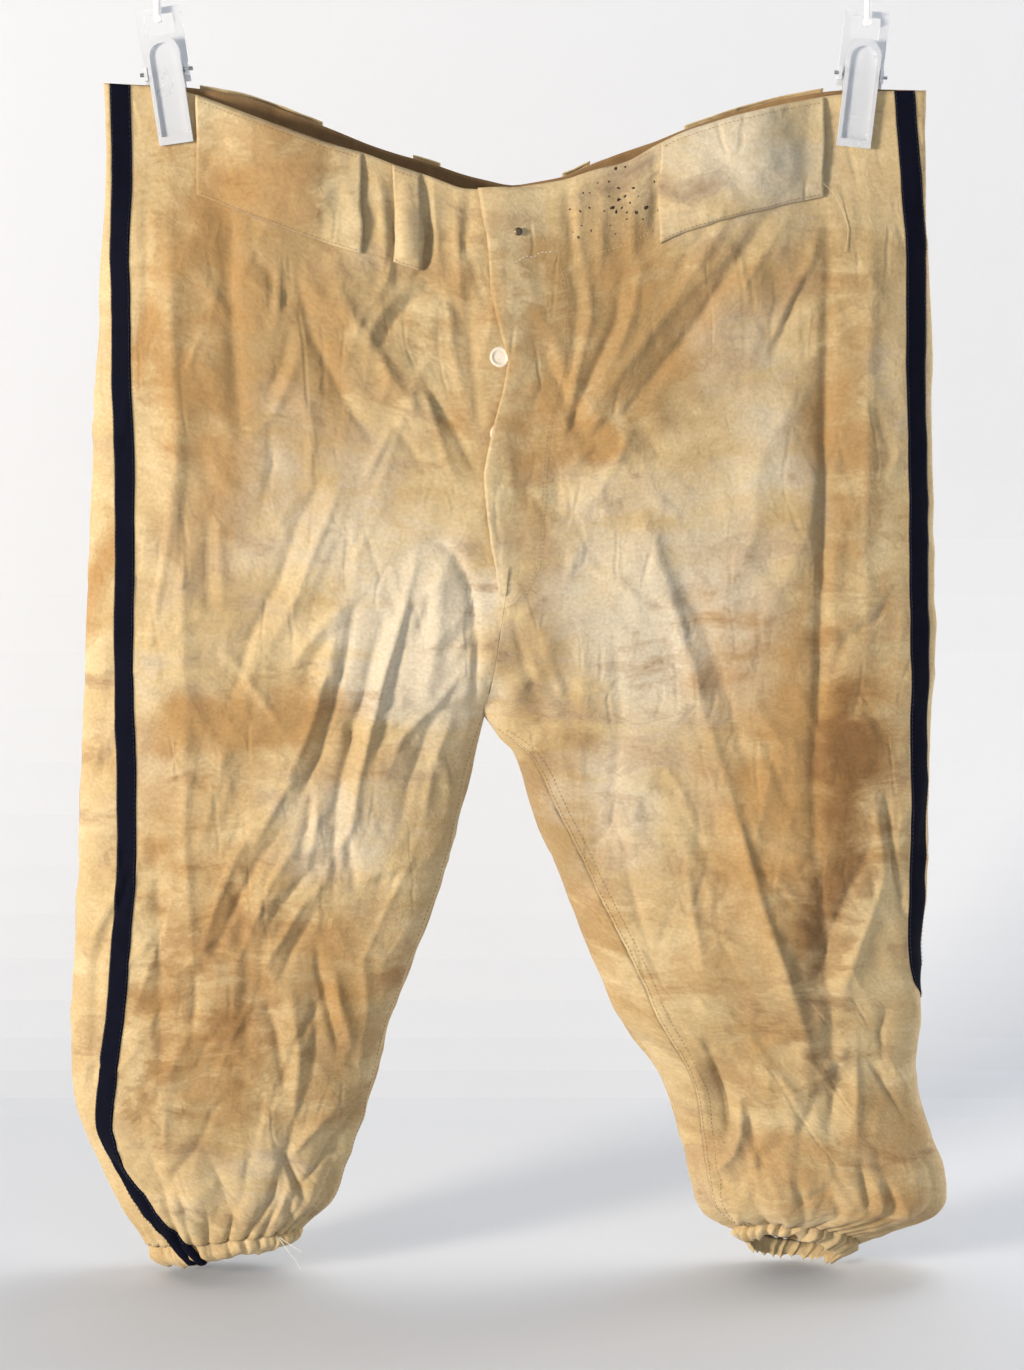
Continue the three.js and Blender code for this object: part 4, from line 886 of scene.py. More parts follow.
def add(tree, kind, inputs=None, **settings):
    """One shader node, with its settings and with values or links on its inputs."""
    node = tree.nodes.new("ShaderNode" + kind)
    for key, value in settings.items():
        setattr(node, key, value)
    for key, value in (inputs or {}).items():
        if isinstance(value, bpy.types.NodeSocket):
            tree.links.new(value, node.inputs[key])
        else:
            node.inputs[key].default_value = value
    return node


def new_material(name, values):
    """A node material with its surface shader, and the values that the shader starts from."""
    material = bpy.data.materials.new(name)
    material.use_nodes = True
    tree = material.node_tree
    tree.nodes.clear()
    shader = add(tree, "BsdfPrincipled", values)
    add(tree, "OutputMaterial", {"Surface": shader.outputs["BSDF"]})
    return material, tree, shader


def wave_scale(period, diagonal=False):
    """The wave texture's scale for bands that far apart, in millimetres."""
    return 2 * math.pi / ((14.14 if diagonal else 20.0) * period * MM)


# Each stain and each patch of painted shade: its strength's name on the mesh, colour, how much it covers, and how
# dark its dried edge is.
# The tan one is painted shade over the hips, thighs and shins together with dull all-over soil, pale is worn
# cloth, ochre a warm stain, and the brown one a dark stain that also paints shade in the crotch and in the hollows
# beside the braids.
STAINS_AND_SHADE = (
    ("shade_and_soil", "#a78d63", 0.85, 0.0),
    ("pale", "#dfd8c6", 0.8, 0.0),
    ("ochre", "#b38d59", 0.85, 0.3),
    ("dark_stain_and_shade", "#7d5935", 0.8, 0.3),
)


def cotton_twill(name, light, dark, weave=0.9):
    """Washed cotton twill, woven on the diagonal: matt and soft, with stains and painted shade that run along the
    thread.
    """
    material, tree, shader = new_material(name, {
        "Roughness": 0.93, "Specular IOR Level": 0.18, "Sheen Weight": 0.2, "Sheen Roughness": 0.5})
    uv = add(tree, "UVMap", uv_map="cloth").outputs[0]
    along = add(tree, "Mapping", {"Vector": uv, "Scale": (0.5, 1.0, 1.0)}).outputs[0]
    # clouds of dirt, a hand wide, between two tones of the same cloth
    cloud = add(tree, "TexNoise", {"Vector": along, "Scale": 26.0, "Detail": 9.0, "Roughness": 0.68,
                                   "Distortion": 0.6}).outputs["Fac"]
    span = add(tree, "MapRange", {"Value": cloud, "From Min": 0.3, "From Max": 0.7}).outputs["Result"]
    base = add(tree, "Mix", {0: span, 6: dark, 7: light}, data_type="RGBA").outputs[2]
    # each stain and each patch of painted shade soaks in by its own strength, streaked sideways, with a darker
    # line where it dried
    streaks = add(tree, "TexNoise", {"Vector": along, "Scale": 40.0, "Detail": 10.0, "Roughness": 0.66,
                                     "Distortion": 0.5}).outputs["Fac"]
    for key, tone, cover, dried in STAINS_AND_SHADE:
        strength = add(tree, "Attribute", attribute_name=key).outputs["Fac"]
        tint_level = add(tree, "Math", {0: streaks, 1: 1.7, 2: strength}, operation="MULTIPLY_ADD").outputs[0]
        amount = add(tree, "MapRange", {"Value": tint_level, "From Min": 0.9, "From Max": 1.75},
                     interpolation_type="SMOOTHSTEP").outputs["Result"]
        covered = add(tree, "Math", {0: amount, 1: cover}, operation="MULTIPLY").outputs[0]
        base = add(tree, "Mix", {0: covered, 6: base, 7: colour(tone)}, data_type="RGBA").outputs[2]
        edge = add(tree, "MapRange", {"Value": tint_level, "From Min": 1.12, "From Max": 1.24}).outputs["Result"]
        line = add(tree, "Math", {0: edge, 1: 0.5}, operation="PINGPONG").outputs[0]
        drawn = add(tree, "Math", {0: line, 1: dried}, operation="MULTIPLY").outputs[0]
        base = add(tree, "Mix", {0: drawn, 6: base, 7: colour("#80592f")}, data_type="RGBA").outputs[2]
    # specks of soil in the thread
    fine = add(tree, "TexNoise", {"Vector": uv, "Scale": 420.0, "Detail": 5.0, "Roughness": 0.75}).outputs["Fac"]
    specks = add(tree, "MapRange", {"Value": fine, "From Min": 0.3, "From Max": 0.62}).outputs["Result"]
    soiled = add(tree, "Mix", {0: specks, 6: colour("#dccfb8"), 7: WHITE}, data_type="RGBA").outputs[2]
    base = add(tree, "Mix", {0: 0.7, 6: base, 7: soiled}, data_type="RGBA", blend_type="MULTIPLY").outputs[2]
    # the twill line, a fine rib that climbs to the right
    rib = add(tree, "TexWave", {"Vector": uv, "Scale": wave_scale(weave, True), "Distortion": 0.6, "Detail": 1.0},
              wave_type="BANDS", bands_direction="DIAGONAL").outputs["Fac"]
    ribbed = add(tree, "Mix", {0: rib, 6: colour("#c4baa8"), 7: WHITE}, data_type="RGBA").outputs[2]
    base = add(tree, "Mix", {0: 0.12, 6: base, 7: ribbed}, data_type="RGBA", blend_type="MULTIPLY").outputs[2]
    tree.links.new(base, shader.inputs["Base Color"])
    # pressed-in wrinkles, thin lines that cross at slants and come and go over the cloth
    bent = add(tree, "TexNoise", {"Vector": uv, "Scale": 13.0, "Detail": 3.0}).outputs["Color"]
    moved = add(tree, "VectorMath", {0: bent, 1: (0.02, 0.02, 0.0), 2: uv}, operation="MULTIPLY_ADD").outputs[0]
    slant = add(tree, "Mapping", {"Vector": moved, "Rotation": (0.0, 0.0, 0.45), "Scale": (1.7, 0.55, 1.0)})
    cells = add(tree, "TexVoronoi", {"Vector": slant.outputs[0], "Scale": 30.0}, feature="DISTANCE_TO_EDGE")
    groove = add(tree, "MapRange", {"Value": cells.outputs["Distance"], "From Max": 0.12},
                 interpolation_type="SMOOTHSTEP")
    patch = add(tree, "TexNoise", {"Vector": uv, "Scale": 21.0, "Detail": 2.0}).outputs["Fac"]
    shown = add(tree, "MapRange", {"Value": patch, "From Min": 0.48, "From Max": 0.62}).outputs["Result"]
    wrinkle = add(tree, "Math", {0: groove.outputs["Result"], 1: shown}, operation="MULTIPLY").outputs[0]
    crumple = add(tree, "TexNoise", {"Vector": uv, "Scale": 85.0, "Detail": 6.0, "Roughness": 0.62,
                                     "Distortion": 0.5}).outputs["Fac"]
    weave_bump = add(tree, "Bump", {"Height": rib, "Strength": 0.25, "Distance": 0.0002})
    soft = add(tree, "Bump", {"Height": crumple, "Strength": 0.5, "Distance": 0.0024,
                              "Normal": weave_bump.outputs["Normal"]})
    pressed = add(tree, "Bump", {"Height": wrinkle, "Strength": 0.45, "Distance": 0.0010,
                                 "Normal": soft.outputs["Normal"]})
    tree.links.new(pressed.outputs["Normal"], shader.inputs["Normal"])
    return material


def plain_cloth(name, dark, light, weave, sheen=0.2, pitch=1.2):
    """A plain woven cloth or braid with a raised weave, a little dusty."""
    material, tree, shader = new_material(name, {
        "Roughness": 0.85, "Specular IOR Level": 0.12, "Sheen Weight": sheen})
    uv = add(tree, "UVMap", uv_map="cloth").outputs[0]
    scale = wave_scale(pitch, weave == "DIAGONAL")
    rows = add(tree, "TexWave", {"Vector": uv, "Scale": scale, "Distortion": 0.4},
               wave_type="BANDS", bands_direction=weave).outputs["Fac"]
    dust = add(tree, "TexNoise", {"Vector": uv, "Scale": 180.0, "Detail": 5.0}).outputs["Fac"]
    shade = add(tree, "Mix", {0: dust, 6: dark, 7: light}, data_type="RGBA").outputs[2]
    woven = add(tree, "Mix", {0: rows, 6: colour("#9a9a9a"), 7: WHITE}, data_type="RGBA").outputs[2]
    both = add(tree, "Mix", {0: 0.3, 6: shade, 7: woven}, data_type="RGBA", blend_type="MULTIPLY").outputs[2]
    tree.links.new(both, shader.inputs["Base Color"])
    bump = add(tree, "Bump", {"Height": rows, "Strength": 0.4, "Distance": 0.0003})
    tree.links.new(bump.outputs["Normal"], shader.inputs["Normal"])
    return material


def moulded_plastic(name, tone, clear):
    """Injection-moulded plastic with a soft gloss; clear lets some light through, as a thin clip does."""
    material, tree, shader = new_material(name, {
        "Base Color": colour(tone), "Transmission Weight": clear, "IOR": 1.49,
        "Subsurface Weight": 0.25, "Subsurface Radius": (0.004, 0.004, 0.004)})
    where = add(tree, "TexCoord").outputs["Object"]
    haze = add(tree, "TexNoise", {"Vector": where, "Scale": 60.0, "Detail": 2.0}).outputs["Fac"]
    rough = add(tree, "MapRange", {"Value": haze, "To Min": 0.22, "To Max": 0.36})
    tree.links.new(rough.outputs["Result"], shader.inputs["Roughness"])
    return material


def drawn_steel(name, tone, rough):
    """Steel wire with fine drawing lines that blur its reflections."""
    material, tree, shader = new_material(name, {"Base Color": colour(tone), "Metallic": 1.0})
    where = add(tree, "TexCoord").outputs["Object"]
    lines = add(tree, "TexNoise", {"Vector": where, "Scale": 900.0, "Detail": 3.0}).outputs["Fac"]
    span = add(tree, "MapRange", {"Value": lines, "To Min": rough - 0.08, "To Max": rough + 0.1})
    tree.links.new(span.outputs["Result"], shader.inputs["Roughness"])
    return material


def polished_shell(name):
    """Pearl shell: a warm white with a faint cloudy lustre under a polish."""
    material, tree, shader = new_material(name, {"Roughness": 0.24, "Coat Weight": 0.4})
    where = add(tree, "TexCoord").outputs["Object"]
    lustre = add(tree, "TexNoise", {"Vector": where, "Scale": 320.0, "Detail": 3.0}).outputs["Fac"]
    shade = add(tree, "Mix", {0: lustre, 6: colour("#d9ccb2"), 7: colour("#f2ecdc")}, data_type="RGBA").outputs[2]
    tree.links.new(shade, shader.inputs["Base Color"])
    return material


def sewing_thread(name, tone):
    """Matt cotton thread."""
    return new_material(name, {"Base Color": colour(tone), "Roughness": 0.8, "Sheen Weight": 0.3})[0]


MATERIALS = {}


def make_materials(settings):
    """All finishes, once."""
    if MATERIALS:
        return
    MATERIALS.update({
        "twill": cotton_twill("cotton_twill_stained", settings.cloth_colour, settings.soil_colour),
        "twill_trim": cotton_twill("cotton_twill_trim", colour("#e0d0a9"), colour("#c8b084")),
        # the facing's dark brown tones are painted shade of the inside of the waist
        "facing": plain_cloth("cotton_facing_painted_shade", colour("#8d6f4b"), colour("#a98a61"), "X", 0.1),
        "braid": plain_cloth("navy_flat_braid", colour("#03050f"), settings.braid_colour, "DIAGONAL", 0.0, 1.1),
        "clip": moulded_plastic("clip_plastic_translucent", "#eef2f7", 0.35),
        "hanger": moulded_plastic("hanger_plastic_white", "#f1f3f5", 0.0),
        "button": polished_shell("button_shell"),
        "steel": drawn_steel("hook_steel_wire", "#a9adb1", 0.32),
        "snap": drawn_steel("snap_steel_tarnished", "#6d6252", 0.5),
        "thread": sewing_thread("thread_cream", "#d8c59c"),
        "thread_dark": sewing_thread("thread_brown", "#7b5a34"),
        "thread_navy": sewing_thread("thread_navy", "#232a44"),
        "thread_white": sewing_thread("thread_white", "#efece2"),
        "hole": sewing_thread("moth_hole_shadow", "#3a2310"),
    })


# ---------------------------------------------------------------- cloth pieces

def twill_wall():
    """Thickness of the twill in mm, as set in the panel."""
    return bpy.context.scene.pants.cloth_thickness / MM


FACING_TALL = 51.0
FACING_WALL = 0.7
BRAID_WALL = 0.85
TRIM_WALL = 0.9      # belt tunnels, loops and fly flap
STAND_WALL = 0.8


def panel_columns(face):
    """The columns of a side's grid that belong to its front or its back panel."""
    return slice(0, FRONT_COLUMNS) if face == "front" else slice(FRONT_COLUMNS - 1, None)


def panel(side, face):
    """One front or back panel, an arc of every ring between two seams."""
    c, half = CLOTH[side], panel_columns(face)
    grid = c["grid"][:, half]
    rows, cols = grid.shape[:2]
    uv = np.stack([c["around"][:, half], -np.broadcast_to(c["down"][:, None], (rows, cols))], -1) * MM
    if side == "left":
        uv[..., 0] = -uv[..., 0] + 1.0
    if face == "back":
        uv[..., 0] += 2.0
    obj = mesh_object(face + "_" + side + "_cloth", grid.reshape(-1, 3),
                      grid_faces(rows, cols, flip=(side == "left")), uv.reshape(-1, 2),
                      tints(c["x"][:, half], c["drop"][:, half], c["front"][:, half]))
    shell(obj, twill_wall())
    return finish_piece(obj, [face + "_" + side], "twill")


def facing(side, face):
    """The strip inside the waist."""
    c, half = CLOTH[side], panel_columns(face)
    rows = int(np.searchsorted(c["down"], FACING_TALL))
    grid = c["grid"][:rows, half] - c["normal"][:rows, half] * (twill_wall() + 0.25)
    cols = grid.shape[1]
    uv = np.stack([c["around"][:rows, half], np.broadcast_to(c["down"][:rows, None], (rows, cols))], -1) * MM
    obj = mesh_object("facing_" + face + "_" + side + "_cloth", grid.reshape(-1, 3),
                      grid_faces(rows, cols, flip=(side == "left")), uv.reshape(-1, 2))
    shell(obj, FACING_WALL)
    return finish_piece(obj, ["facing_" + face + "_" + side], "facing")


def along_ring(c, row, length):
    """Place and direction at a length from the side seam round one ring."""
    at = c["around"][row]
    p = np.array([np.interp(length, at, c["grid"][row, :, k]) for k in range(3)])
    n = np.array([np.interp(length, at, c["normal"][row, :, k]) for k in range(3)])
    return p, n / np.linalg.norm(n)


BRAID_COLUMNS = 13
BRAID_PAST = 7       # rows that run on over the right casing
BRAID_STEP = 2.2     # between them


def braid(side):
    """Flat navy braid over the side seam, its edges lying down on the cloth."""
    c = CLOTH[side]
    offsets = np.linspace(-0.5, 0.5, BRAID_COLUMNS) * BRAID_WIDE
    points, uv = [], []
    rows, cols = len(c["rows"]), len(offsets)
    for row in range(rows):
        for o in offsets:
            p, n = along_ring(c, row, o)
            points.append(p + n * (1.0 - 0.45 * abs(2 * o / BRAID_WIDE) ** 6))
            uv.append((o * MM, -c["down"][row] * MM))
    if side == "right":
        last, before = (np.array(points[-k * cols - cols:len(points) - k * cols]) for k in (0, 4))
        step = (last - before).mean(0)
        step *= BRAID_STEP / np.linalg.norm(step)
        for k in range(1, BRAID_PAST + 1):
            points += list(last + np.array([0, -min(k, 3) * 0.9, 0]) + step * k)
            uv += [(o * MM, -(c["down"][-1] + BRAID_STEP * k) * MM) for o in offsets]
        rows += BRAID_PAST
    obj = mesh_object("side_braid_" + side, points, grid_faces(rows, cols, flip=(side == "left")), uv)
    shell(obj, BRAID_WALL)
    return finish_piece(obj, ["braid_" + side], "braid")


# A casing's profile down its outside and up its inside: share of the height, how far out, how much gather shows
CASING_PROFILE = (
    (-0.02, 0.2, 0.9), (0.10, 0.8, 1.0), (0.25, 1.1, 0.9), (0.34, 0.8, 1.1), (0.42, 1.2, 1.0), (0.6, 1.7, 1.2),
    (0.8, 1.5, 1.3), (0.95, 0.6, 1.3), (1.02, -0.8, 1.0), (0.98, -2.2, 0.8), (0.8, -3.0, 0.6), (0.45, -3.2, 0.5),
    (0.1, -2.6, 0.5), (-0.05, -1.2, 0.7),
)
CASING_COLUMNS = 384


def casing(side):
    """Gathered hem casing: a soft band round elastic, in lobes between tight gathers."""
    sign = -1.0 if side == "right" else 1.0
    hem, seed, loose = HEMS[side], HEM_SEED[side], HEM_LOOSE[side]
    turn = np.linspace(-np.pi, np.pi, CASING_COLUMNS, endpoint=False)
    lobe = gather_lobe(gather_phase(turn, seed))
    rows = []
    for down, out, gather in CASING_PROFILE:
        at = lambda key: np.interp(down, [0, 0.5, 1], hem[key])
        width, cx = (at("out") - at("inn")) / 2, (at("out") + at("inn")) / 2
        depth = np.where(np.sin(turn) > 0, at("front"), at("back"))
        cos, sin = power(np.cos(turn), 0.95), power(np.sin(turn), 0.95)
        x, y = cx + width * cos, -depth * sin
        across = (x - at("out")) / (at("inn") - at("out"))
        z = -TOP - (at("drop") * (1 - across) + at("drop_in") * across) + at("lift") * sin
        n = np.stack([sign * np.cos(turn) * depth, -np.sin(turn) * abs(width), 0 * turn], -1)
        n /= np.linalg.norm(n, axis=1, keepdims=True)
        uneven = (0.9 * gather * lobe + 1.2 * noise(turn * 60, down * 26 + 0 * turn, 14, seed + 2)) * loose
        uneven = uneven + 0.9 * gather * noise(turn * 60, down * 6 + 0 * turn, 4.5, seed + 6)
        z = z + (2.6 * noise(turn * 60, 0 * turn, 11, seed + 3) + 0.7 * lobe) * (max(down, 0) - 0.1) * loose
        rows.append(np.stack([x, y, z], -1) + n * (out - 0.4 + uneven)[:, None])
    points = np.concatenate(rows)
    count = len(rows)
    faces = np.array(grid_faces(count + 1, CASING_COLUMNS, flip=(side == "left"), looped=True)) % len(points)
    uv = np.stack([np.tile(turn * 60, count), np.repeat(np.arange(count) * 2.0, CASING_COLUMNS)], -1) * MM
    obj = mesh_object("hem_casing_" + side, points, faces.tolist(), uv,
                      tints(points[:, 0], -points[:, 2] - TOP, points[:, 1] < 0))
    outward(obj)
    return finish_piece(obj, ["casing_" + side], "twill")


def strip_grid(face, x_of, drop_of, rise_of, rows, cols):
    """Points over the cloth, standing off it by a rise that changes from place to place, and their uv."""
    points, uv = [], []
    for i in range(rows):
        for j in range(cols):
            u, v = j / (cols - 1), i / (rows - 1)
            x, drop = x_of(u, v), drop_of(u, v)
            p, n = cloth_point(face, x, drop)
            points.append(p + n * rise_of(u, v))
            uv.append((x * MM, -drop * MM))
    return np.array(points), np.array(uv)


def strip_piece(name, node, face, grid, rows, cols, wall):
    """A sewn-on strip of the trim twill from a grid over the cloth."""
    points, uv = grid
    obj = mesh_object(name, points, grid_faces(rows, cols, flip=(face == "front")), uv,
                      tints(points[:, 0], -points[:, 2] - TOP, np.full(len(points), face == "front")))
    shell(obj, wall)
    return finish_piece(obj, [node], "twill_trim")


NARROW = 30.0        # a strip narrower than this is a loop
FLAP_WAIST_END = 34  # where the flap's sewn edge meets the waist
FIRST_SEED = 70      # the tunnels' random rows, three to each
SEEDS_EACH = 3
TUNNEL_LIES = 1.25   # how far the trim stands off where it is sewn down
TUNNEL_BULGE = 5.4   # and where it stands open
FLAP_BUTTON = 3.2    # how far the buttons push the flap out


def tunnel_x(x0, x1, seed, u, v):
    """Across a tunnel; the open ends of a wide one are a little wavy."""
    return x0 + (x1 - x0) * u + (0 if x1 - x0 < NARROW else 0.35 * math.sin(9 * v + seed) * (2 * u - 1))


def tunnel_rise(x, drop, seed, u, v):
    """How far a tunnel stands off: sewn down at top and bottom, slack between, puckered along its seams."""
    held = math.sin(math.pi * min(max(v, 0.0), 1.0))
    bulge = TUNNEL_BULGE * held ** 0.6 * (0.8 - 0.22 * math.cos(2 * math.pi * u))
    wave = 1.1 * float(noise(np.array(x), np.array(drop * 0.4), 19, seed))
    wave += 0.6 * float(noise(np.array(x), np.array(drop * 0.7), 8, seed + 1))
    pucker = 0.3 * float(noise(np.array(x), np.array(drop), 4.5, seed + 2))
    return TUNNEL_LIES + bulge + wave * (0.25 + 0.75 * held) + pucker


def tunnel(name, face, x0, x1, tall, seed):
    """A belt tunnel or loop, open at both ends; those at the back start a little above the edge."""
    rows, cols = 31, 9 if x1 - x0 < NARROW else int((x1 - x0) / 2.0)
    above = 0.6 if face == "front" else -4.0
    edge = lambda u, v: tunnel_x(x0, x1, seed, u, v)
    drop = lambda u, v: float(sag(face, x0 + (x1 - x0) * u)) + above + (tall - above) * v
    rise = lambda u, v: tunnel_rise(edge(u, v), drop(u, v), seed, u, v)
    grid = strip_grid(face, edge, drop, rise, rows, cols)
    return strip_piece(name + "_cloth", name, face, grid, rows, cols, TRIM_WALL)


def flap_rise(u, v):
    """How far the fly flap stands off: over the buttons at its free edge, down at its stitching."""
    lift = FLAP_BUTTON * (1 - float(smooth((u - 0.05) / 0.7))) * (1 - float(smooth((v - 0.86) / 0.14)))
    wave = 0.5 * math.sin(11 * v + 0.6) * (1 - u) ** 2
    flat = TUNNEL_LIES * (1 - float(smooth((u - 0.2) / 0.8))) - 0.35
    return flat + lift + wave * (1 - float(smooth((v - 0.8) / 0.2)))


def flap_x(u, v):
    """Across the flap, from its free edge to its sewn one."""
    drop = flap_drop(u, v)
    free = np.interp(drop, FLAP["drop"], FLAP["free"])
    sewn = np.interp(drop, FLAP["drop"], FLAP["sewn"])
    return float(free + (sewn - free) * u)


def flap_drop(u, v):
    """Down the flap."""
    return float(FLAP["drop"][0] + (FLAP["drop"][-1] - FLAP["drop"][0]) * v)


def fly_flap():
    """The buttonhole flap down the left front."""
    rows, cols = 92, 18
    grid = strip_grid("front", flap_x, flap_drop, flap_rise, rows, cols)
    return strip_piece("fly_flap_cloth", "fly_flap", "front", grid, rows, cols, TRIM_WALL)


def fly_stand():
    """The underlap that carries the buttons, inside the left front."""
    rows, cols = 40, 8
    grid = strip_grid("front", lambda u, v: -1 + 27 * u, lambda u, v: 122 + 178 * v,
                      lambda u, v: -twill_wall() - 0.3, rows, cols)
    return strip_piece("fly_stand_cloth", "fly_stand", "front", grid, rows, cols, STAND_WALL)


# ---------------------------------------------------------------- sewing details

def dashes(name, tracks, pitch, length, thick, material):
    """Machine stitches: short rounded dashes along tracks of (place, direction out) pairs."""
    points, faces = [], []
    for track in tracks:
        line, out = (np.array([t[k] for t in track]) for k in (0, 1))
        run = np.concatenate([[0], np.cumsum(np.linalg.norm(np.diff(line, axis=0), axis=1))])
        for s in np.arange(pitch / 2, run[-1] - pitch / 2, pitch):
            pick = lambda a, at: np.array([np.interp(at, run, a[:, k]) for k in range(3)])
            a, b = pick(line, s - length / 2), pick(line, s + length / 2)
            n = pick(out, s)
            along = (b - a) / max(np.linalg.norm(b - a), 1e-6)
            across = np.cross(along, n)
            base = len(points)
            mid = (a + b) / 2 + n * thick * 0.55
            points += [a - n * thick * 0.3, b - n * thick * 0.3,
                       mid + across * thick / 2, mid - across * thick / 2, mid + n * thick * 0.5, mid - n * thick]
            for p, q in ((2, 4), (4, 3), (3, 5), (5, 2)):
                faces += [(base, base + p, base + q), (base + 1, base + q, base + p)]
    return solid_piece(name, points, faces, material)


def track_over(face, places, rise):
    """A stitch track over the cloth through places of (x, drop), standing off by rise."""
    places = np.array(places, float)
    run = np.concatenate([[0], np.cumsum(np.hypot(*(places[1:] - places[:-1]).T))])
    made = []
    for s in np.arange(0, run[-1] + 0.1, 3.0):
        p, n = cloth_point(face, float(np.interp(s, run, places[:, 0])), float(np.interp(s, run, places[:, 1])))
        made.append((p + n * rise, n))
    return made


def seam_track(side, across, rise, inner=False):
    """A stitch track down one side, that far across from its side seam or its inner leg seam."""
    c = CLOTH[side]
    first = int(np.searchsorted(c["rows"], CROTCH_ROW + 0.3)) if inner else 0
    made = []
    for row in range(first, len(c["rows"])):
        p, n = along_ring(c, row, across + (c["around"][row][0] if inner else 0))
        made.append((p + n * rise, n))
    return made


def tube(name, path, radius, material, sides=6):
    """A loose thread: a thin tube along given points."""
    path = np.array(path, float)
    run = np.concatenate([[0], np.cumsum(np.linalg.norm(np.diff(path, axis=0), axis=1))])
    at = np.linspace(0, run[-1], max(int(run[-1] / 1.6), 8))
    line = np.stack([np.interp(at, run, path[:, k]) for k in range(3)], -1)
    for _ in range(4):
        line[1:-1] = (line[:-2] + 2 * line[1:-1] + line[2:]) / 4
    points = []
    for i, p in enumerate(line):
        d = line[min(i + 1, len(line) - 1)] - line[max(i - 1, 0)]
        d /= np.linalg.norm(d)
        a = np.cross(d, (0.3, 1.0, 0.2))
        a /= np.linalg.norm(a)
        b = np.cross(d, a)
        for k in range(sides):
            t = 2 * math.pi * k / sides
            points.append(p + radius * (math.cos(t) * a + math.sin(t) * b))
    count = len(line)
    faces = grid_faces(count, sides, looped=True)
    faces.append(tuple(range(sides))[::-1])
    faces.append(tuple((count - 1) * sides + k for k in range(sides)))
    return solid_piece(name, points, faces, material)


HOLE_SIDES = 11


def moth_holes():
    """Small ragged holes: the dark inside seen through, each with an uneven edge."""
    rng = np.random.RandomState(5)
    points, faces = [], []
    for x, drop, size in MOTH_HOLES:
        p, n = cloth_point("front", x, drop)
        rise = 0.12
        if x < FLAP_WAIST_END:
            u = (x - flap_x(0, 0)) / (flap_x(1, 0) - flap_x(0, 0))
            rise += flap_rise(u, (drop - FLAP["drop"][0]) / (FLAP["drop"][-1] - FLAP["drop"][0]))
        a = np.cross(n, (0, 0, 1.0))
        a /= np.linalg.norm(a)
        b = np.cross(n, a)
        base = len(points)
        turn = rng.uniform(0, 6)
        stretch = rng.uniform(0.45, 0.95)
        rim = []
        for k in range(HOLE_SIDES):
            t = 2 * math.pi * k / HOLE_SIDES
            r = size / 2 * rng.uniform(0.5, 1.0)
            u, v = r * math.cos(t), r * stretch * math.sin(t)
            rim.append(p + n * rise + a * (u * math.cos(turn) - v * math.sin(turn)) + b * (
                u * math.sin(turn) + v * math.cos(turn)))
        points += rim + [q - n * 0.25 for q in rim]
        faces.append(tuple(base + k for k in range(HOLE_SIDES)))
        faces.append(tuple(base + HOLE_SIDES + k for k in range(HOLE_SIDES))[::-1])
        for k in range(HOLE_SIDES):
            m = (k + 1) % HOLE_SIDES
            faces.append((base + k, base + HOLE_SIDES + k, base + HOLE_SIDES + m, base + m))
    return solid_piece("moth_holes", points, faces, "hole")


# Where the waist's lower stitching shows between tunnels, loops and clips
WAIST_STITCHES = {
    "front": ((-238, -199), (-91, -76), (-55, -24), (52, 90), (196, 238)),
    "back": ((-240, -196), (-116, -64), (-43, 30), (51, 106), (196, 240)),
}
FLY_CURVE = (
    (28, 108), (33, 130), (34, 155), (33, 176), (28, 196), (23, 212), (21, 230), (19, 254), (18, 271), (18.3, 283),
    (16, 299), (9.5, 313), (2.5, 322), (-6, 331),
)


def sew_legs():
    """Stitches on the braid, beside it and down the inner leg seams."""
    for name, away, rise, pitch, length, thick, thread in (
            ("stitches_braid", BRAID_WIDE / 2 - 0.9, 1.15, 3.0, 2.0, 0.35, "thread_navy"),
            ("stitches_beside_braid", BRAID_WIDE / 2 + 0.7, 0.1, 2.6, 2.1, 0.5, "thread")):
        tracks = [seam_track(side, way * away, rise) for side in SIDES for way in (-1, 1)]
        dashes(name, tracks, pitch, length, thick, thread)
    inner = [seam_track(side, away, 0.1, inner=True)
             for side, away in (("left", 2.0), ("left", 7.5), ("right", 2.0))]
    dashes("stitches_inner_leg", inner, 2.8, 1.9, 0.4, "thread_dark")


def sew_waist():
    """Stitches at the top and foot of each tunnel, and along the waist between them."""
    lines = []
    for k, (_, face, x0, x1, tall) in enumerate(TUNNELS):
        for fall in (3.0, tall - 2.2):
            line = []
            for u in np.linspace(0.02, 0.98, int((x1 - x0) / 1.5)):
                x, drop = x0 + (x1 - x0) * u, float(sag(face, x0 + (x1 - x0) * u)) + 0.6 + fall
                p, n = cloth_point(face, x, drop)
                rise = tunnel_rise(x, drop, FIRST_SEED + SEEDS_EACH * k, u, fall / tall) + 0.1
                line.append((p + n * rise, n))
            lines.append(line)
    dashes("stitches_tunnels", lines, 2.6, 1.8, 0.4, "thread_dark")
    waist = [track_over(face, [(x, float(sag(face, x)) + FACING_TALL) for x in np.linspace(x0, x1, 20)], 0.1)
             for face in FACES for x0, x1 in WAIST_STITCHES[face]]
    dashes("stitches_waist", waist, 2.7, 1.9, 0.4, "thread")


def sew_fly():
    """The curved line that holds the flap, and the white zigzag at its top."""
    dashes("stitches_fly_curve", [track_over("front", FLY_CURVE, 1.3)], 2.6, 1.9, 0.4, "thread_dark")
    zigzag = [(-12 + 5 * k, 113.5 + (1.4 if k % 2 else -1.4) - 0.28 * 5 * k) for k in range(9)]
    top = [(p + n * 2.6, n) for p, n in track_over("front", zigzag, 0.4)]
    dashes("stitches_fly_top", [top], 2.6, 2.0, 0.5, "thread_white")


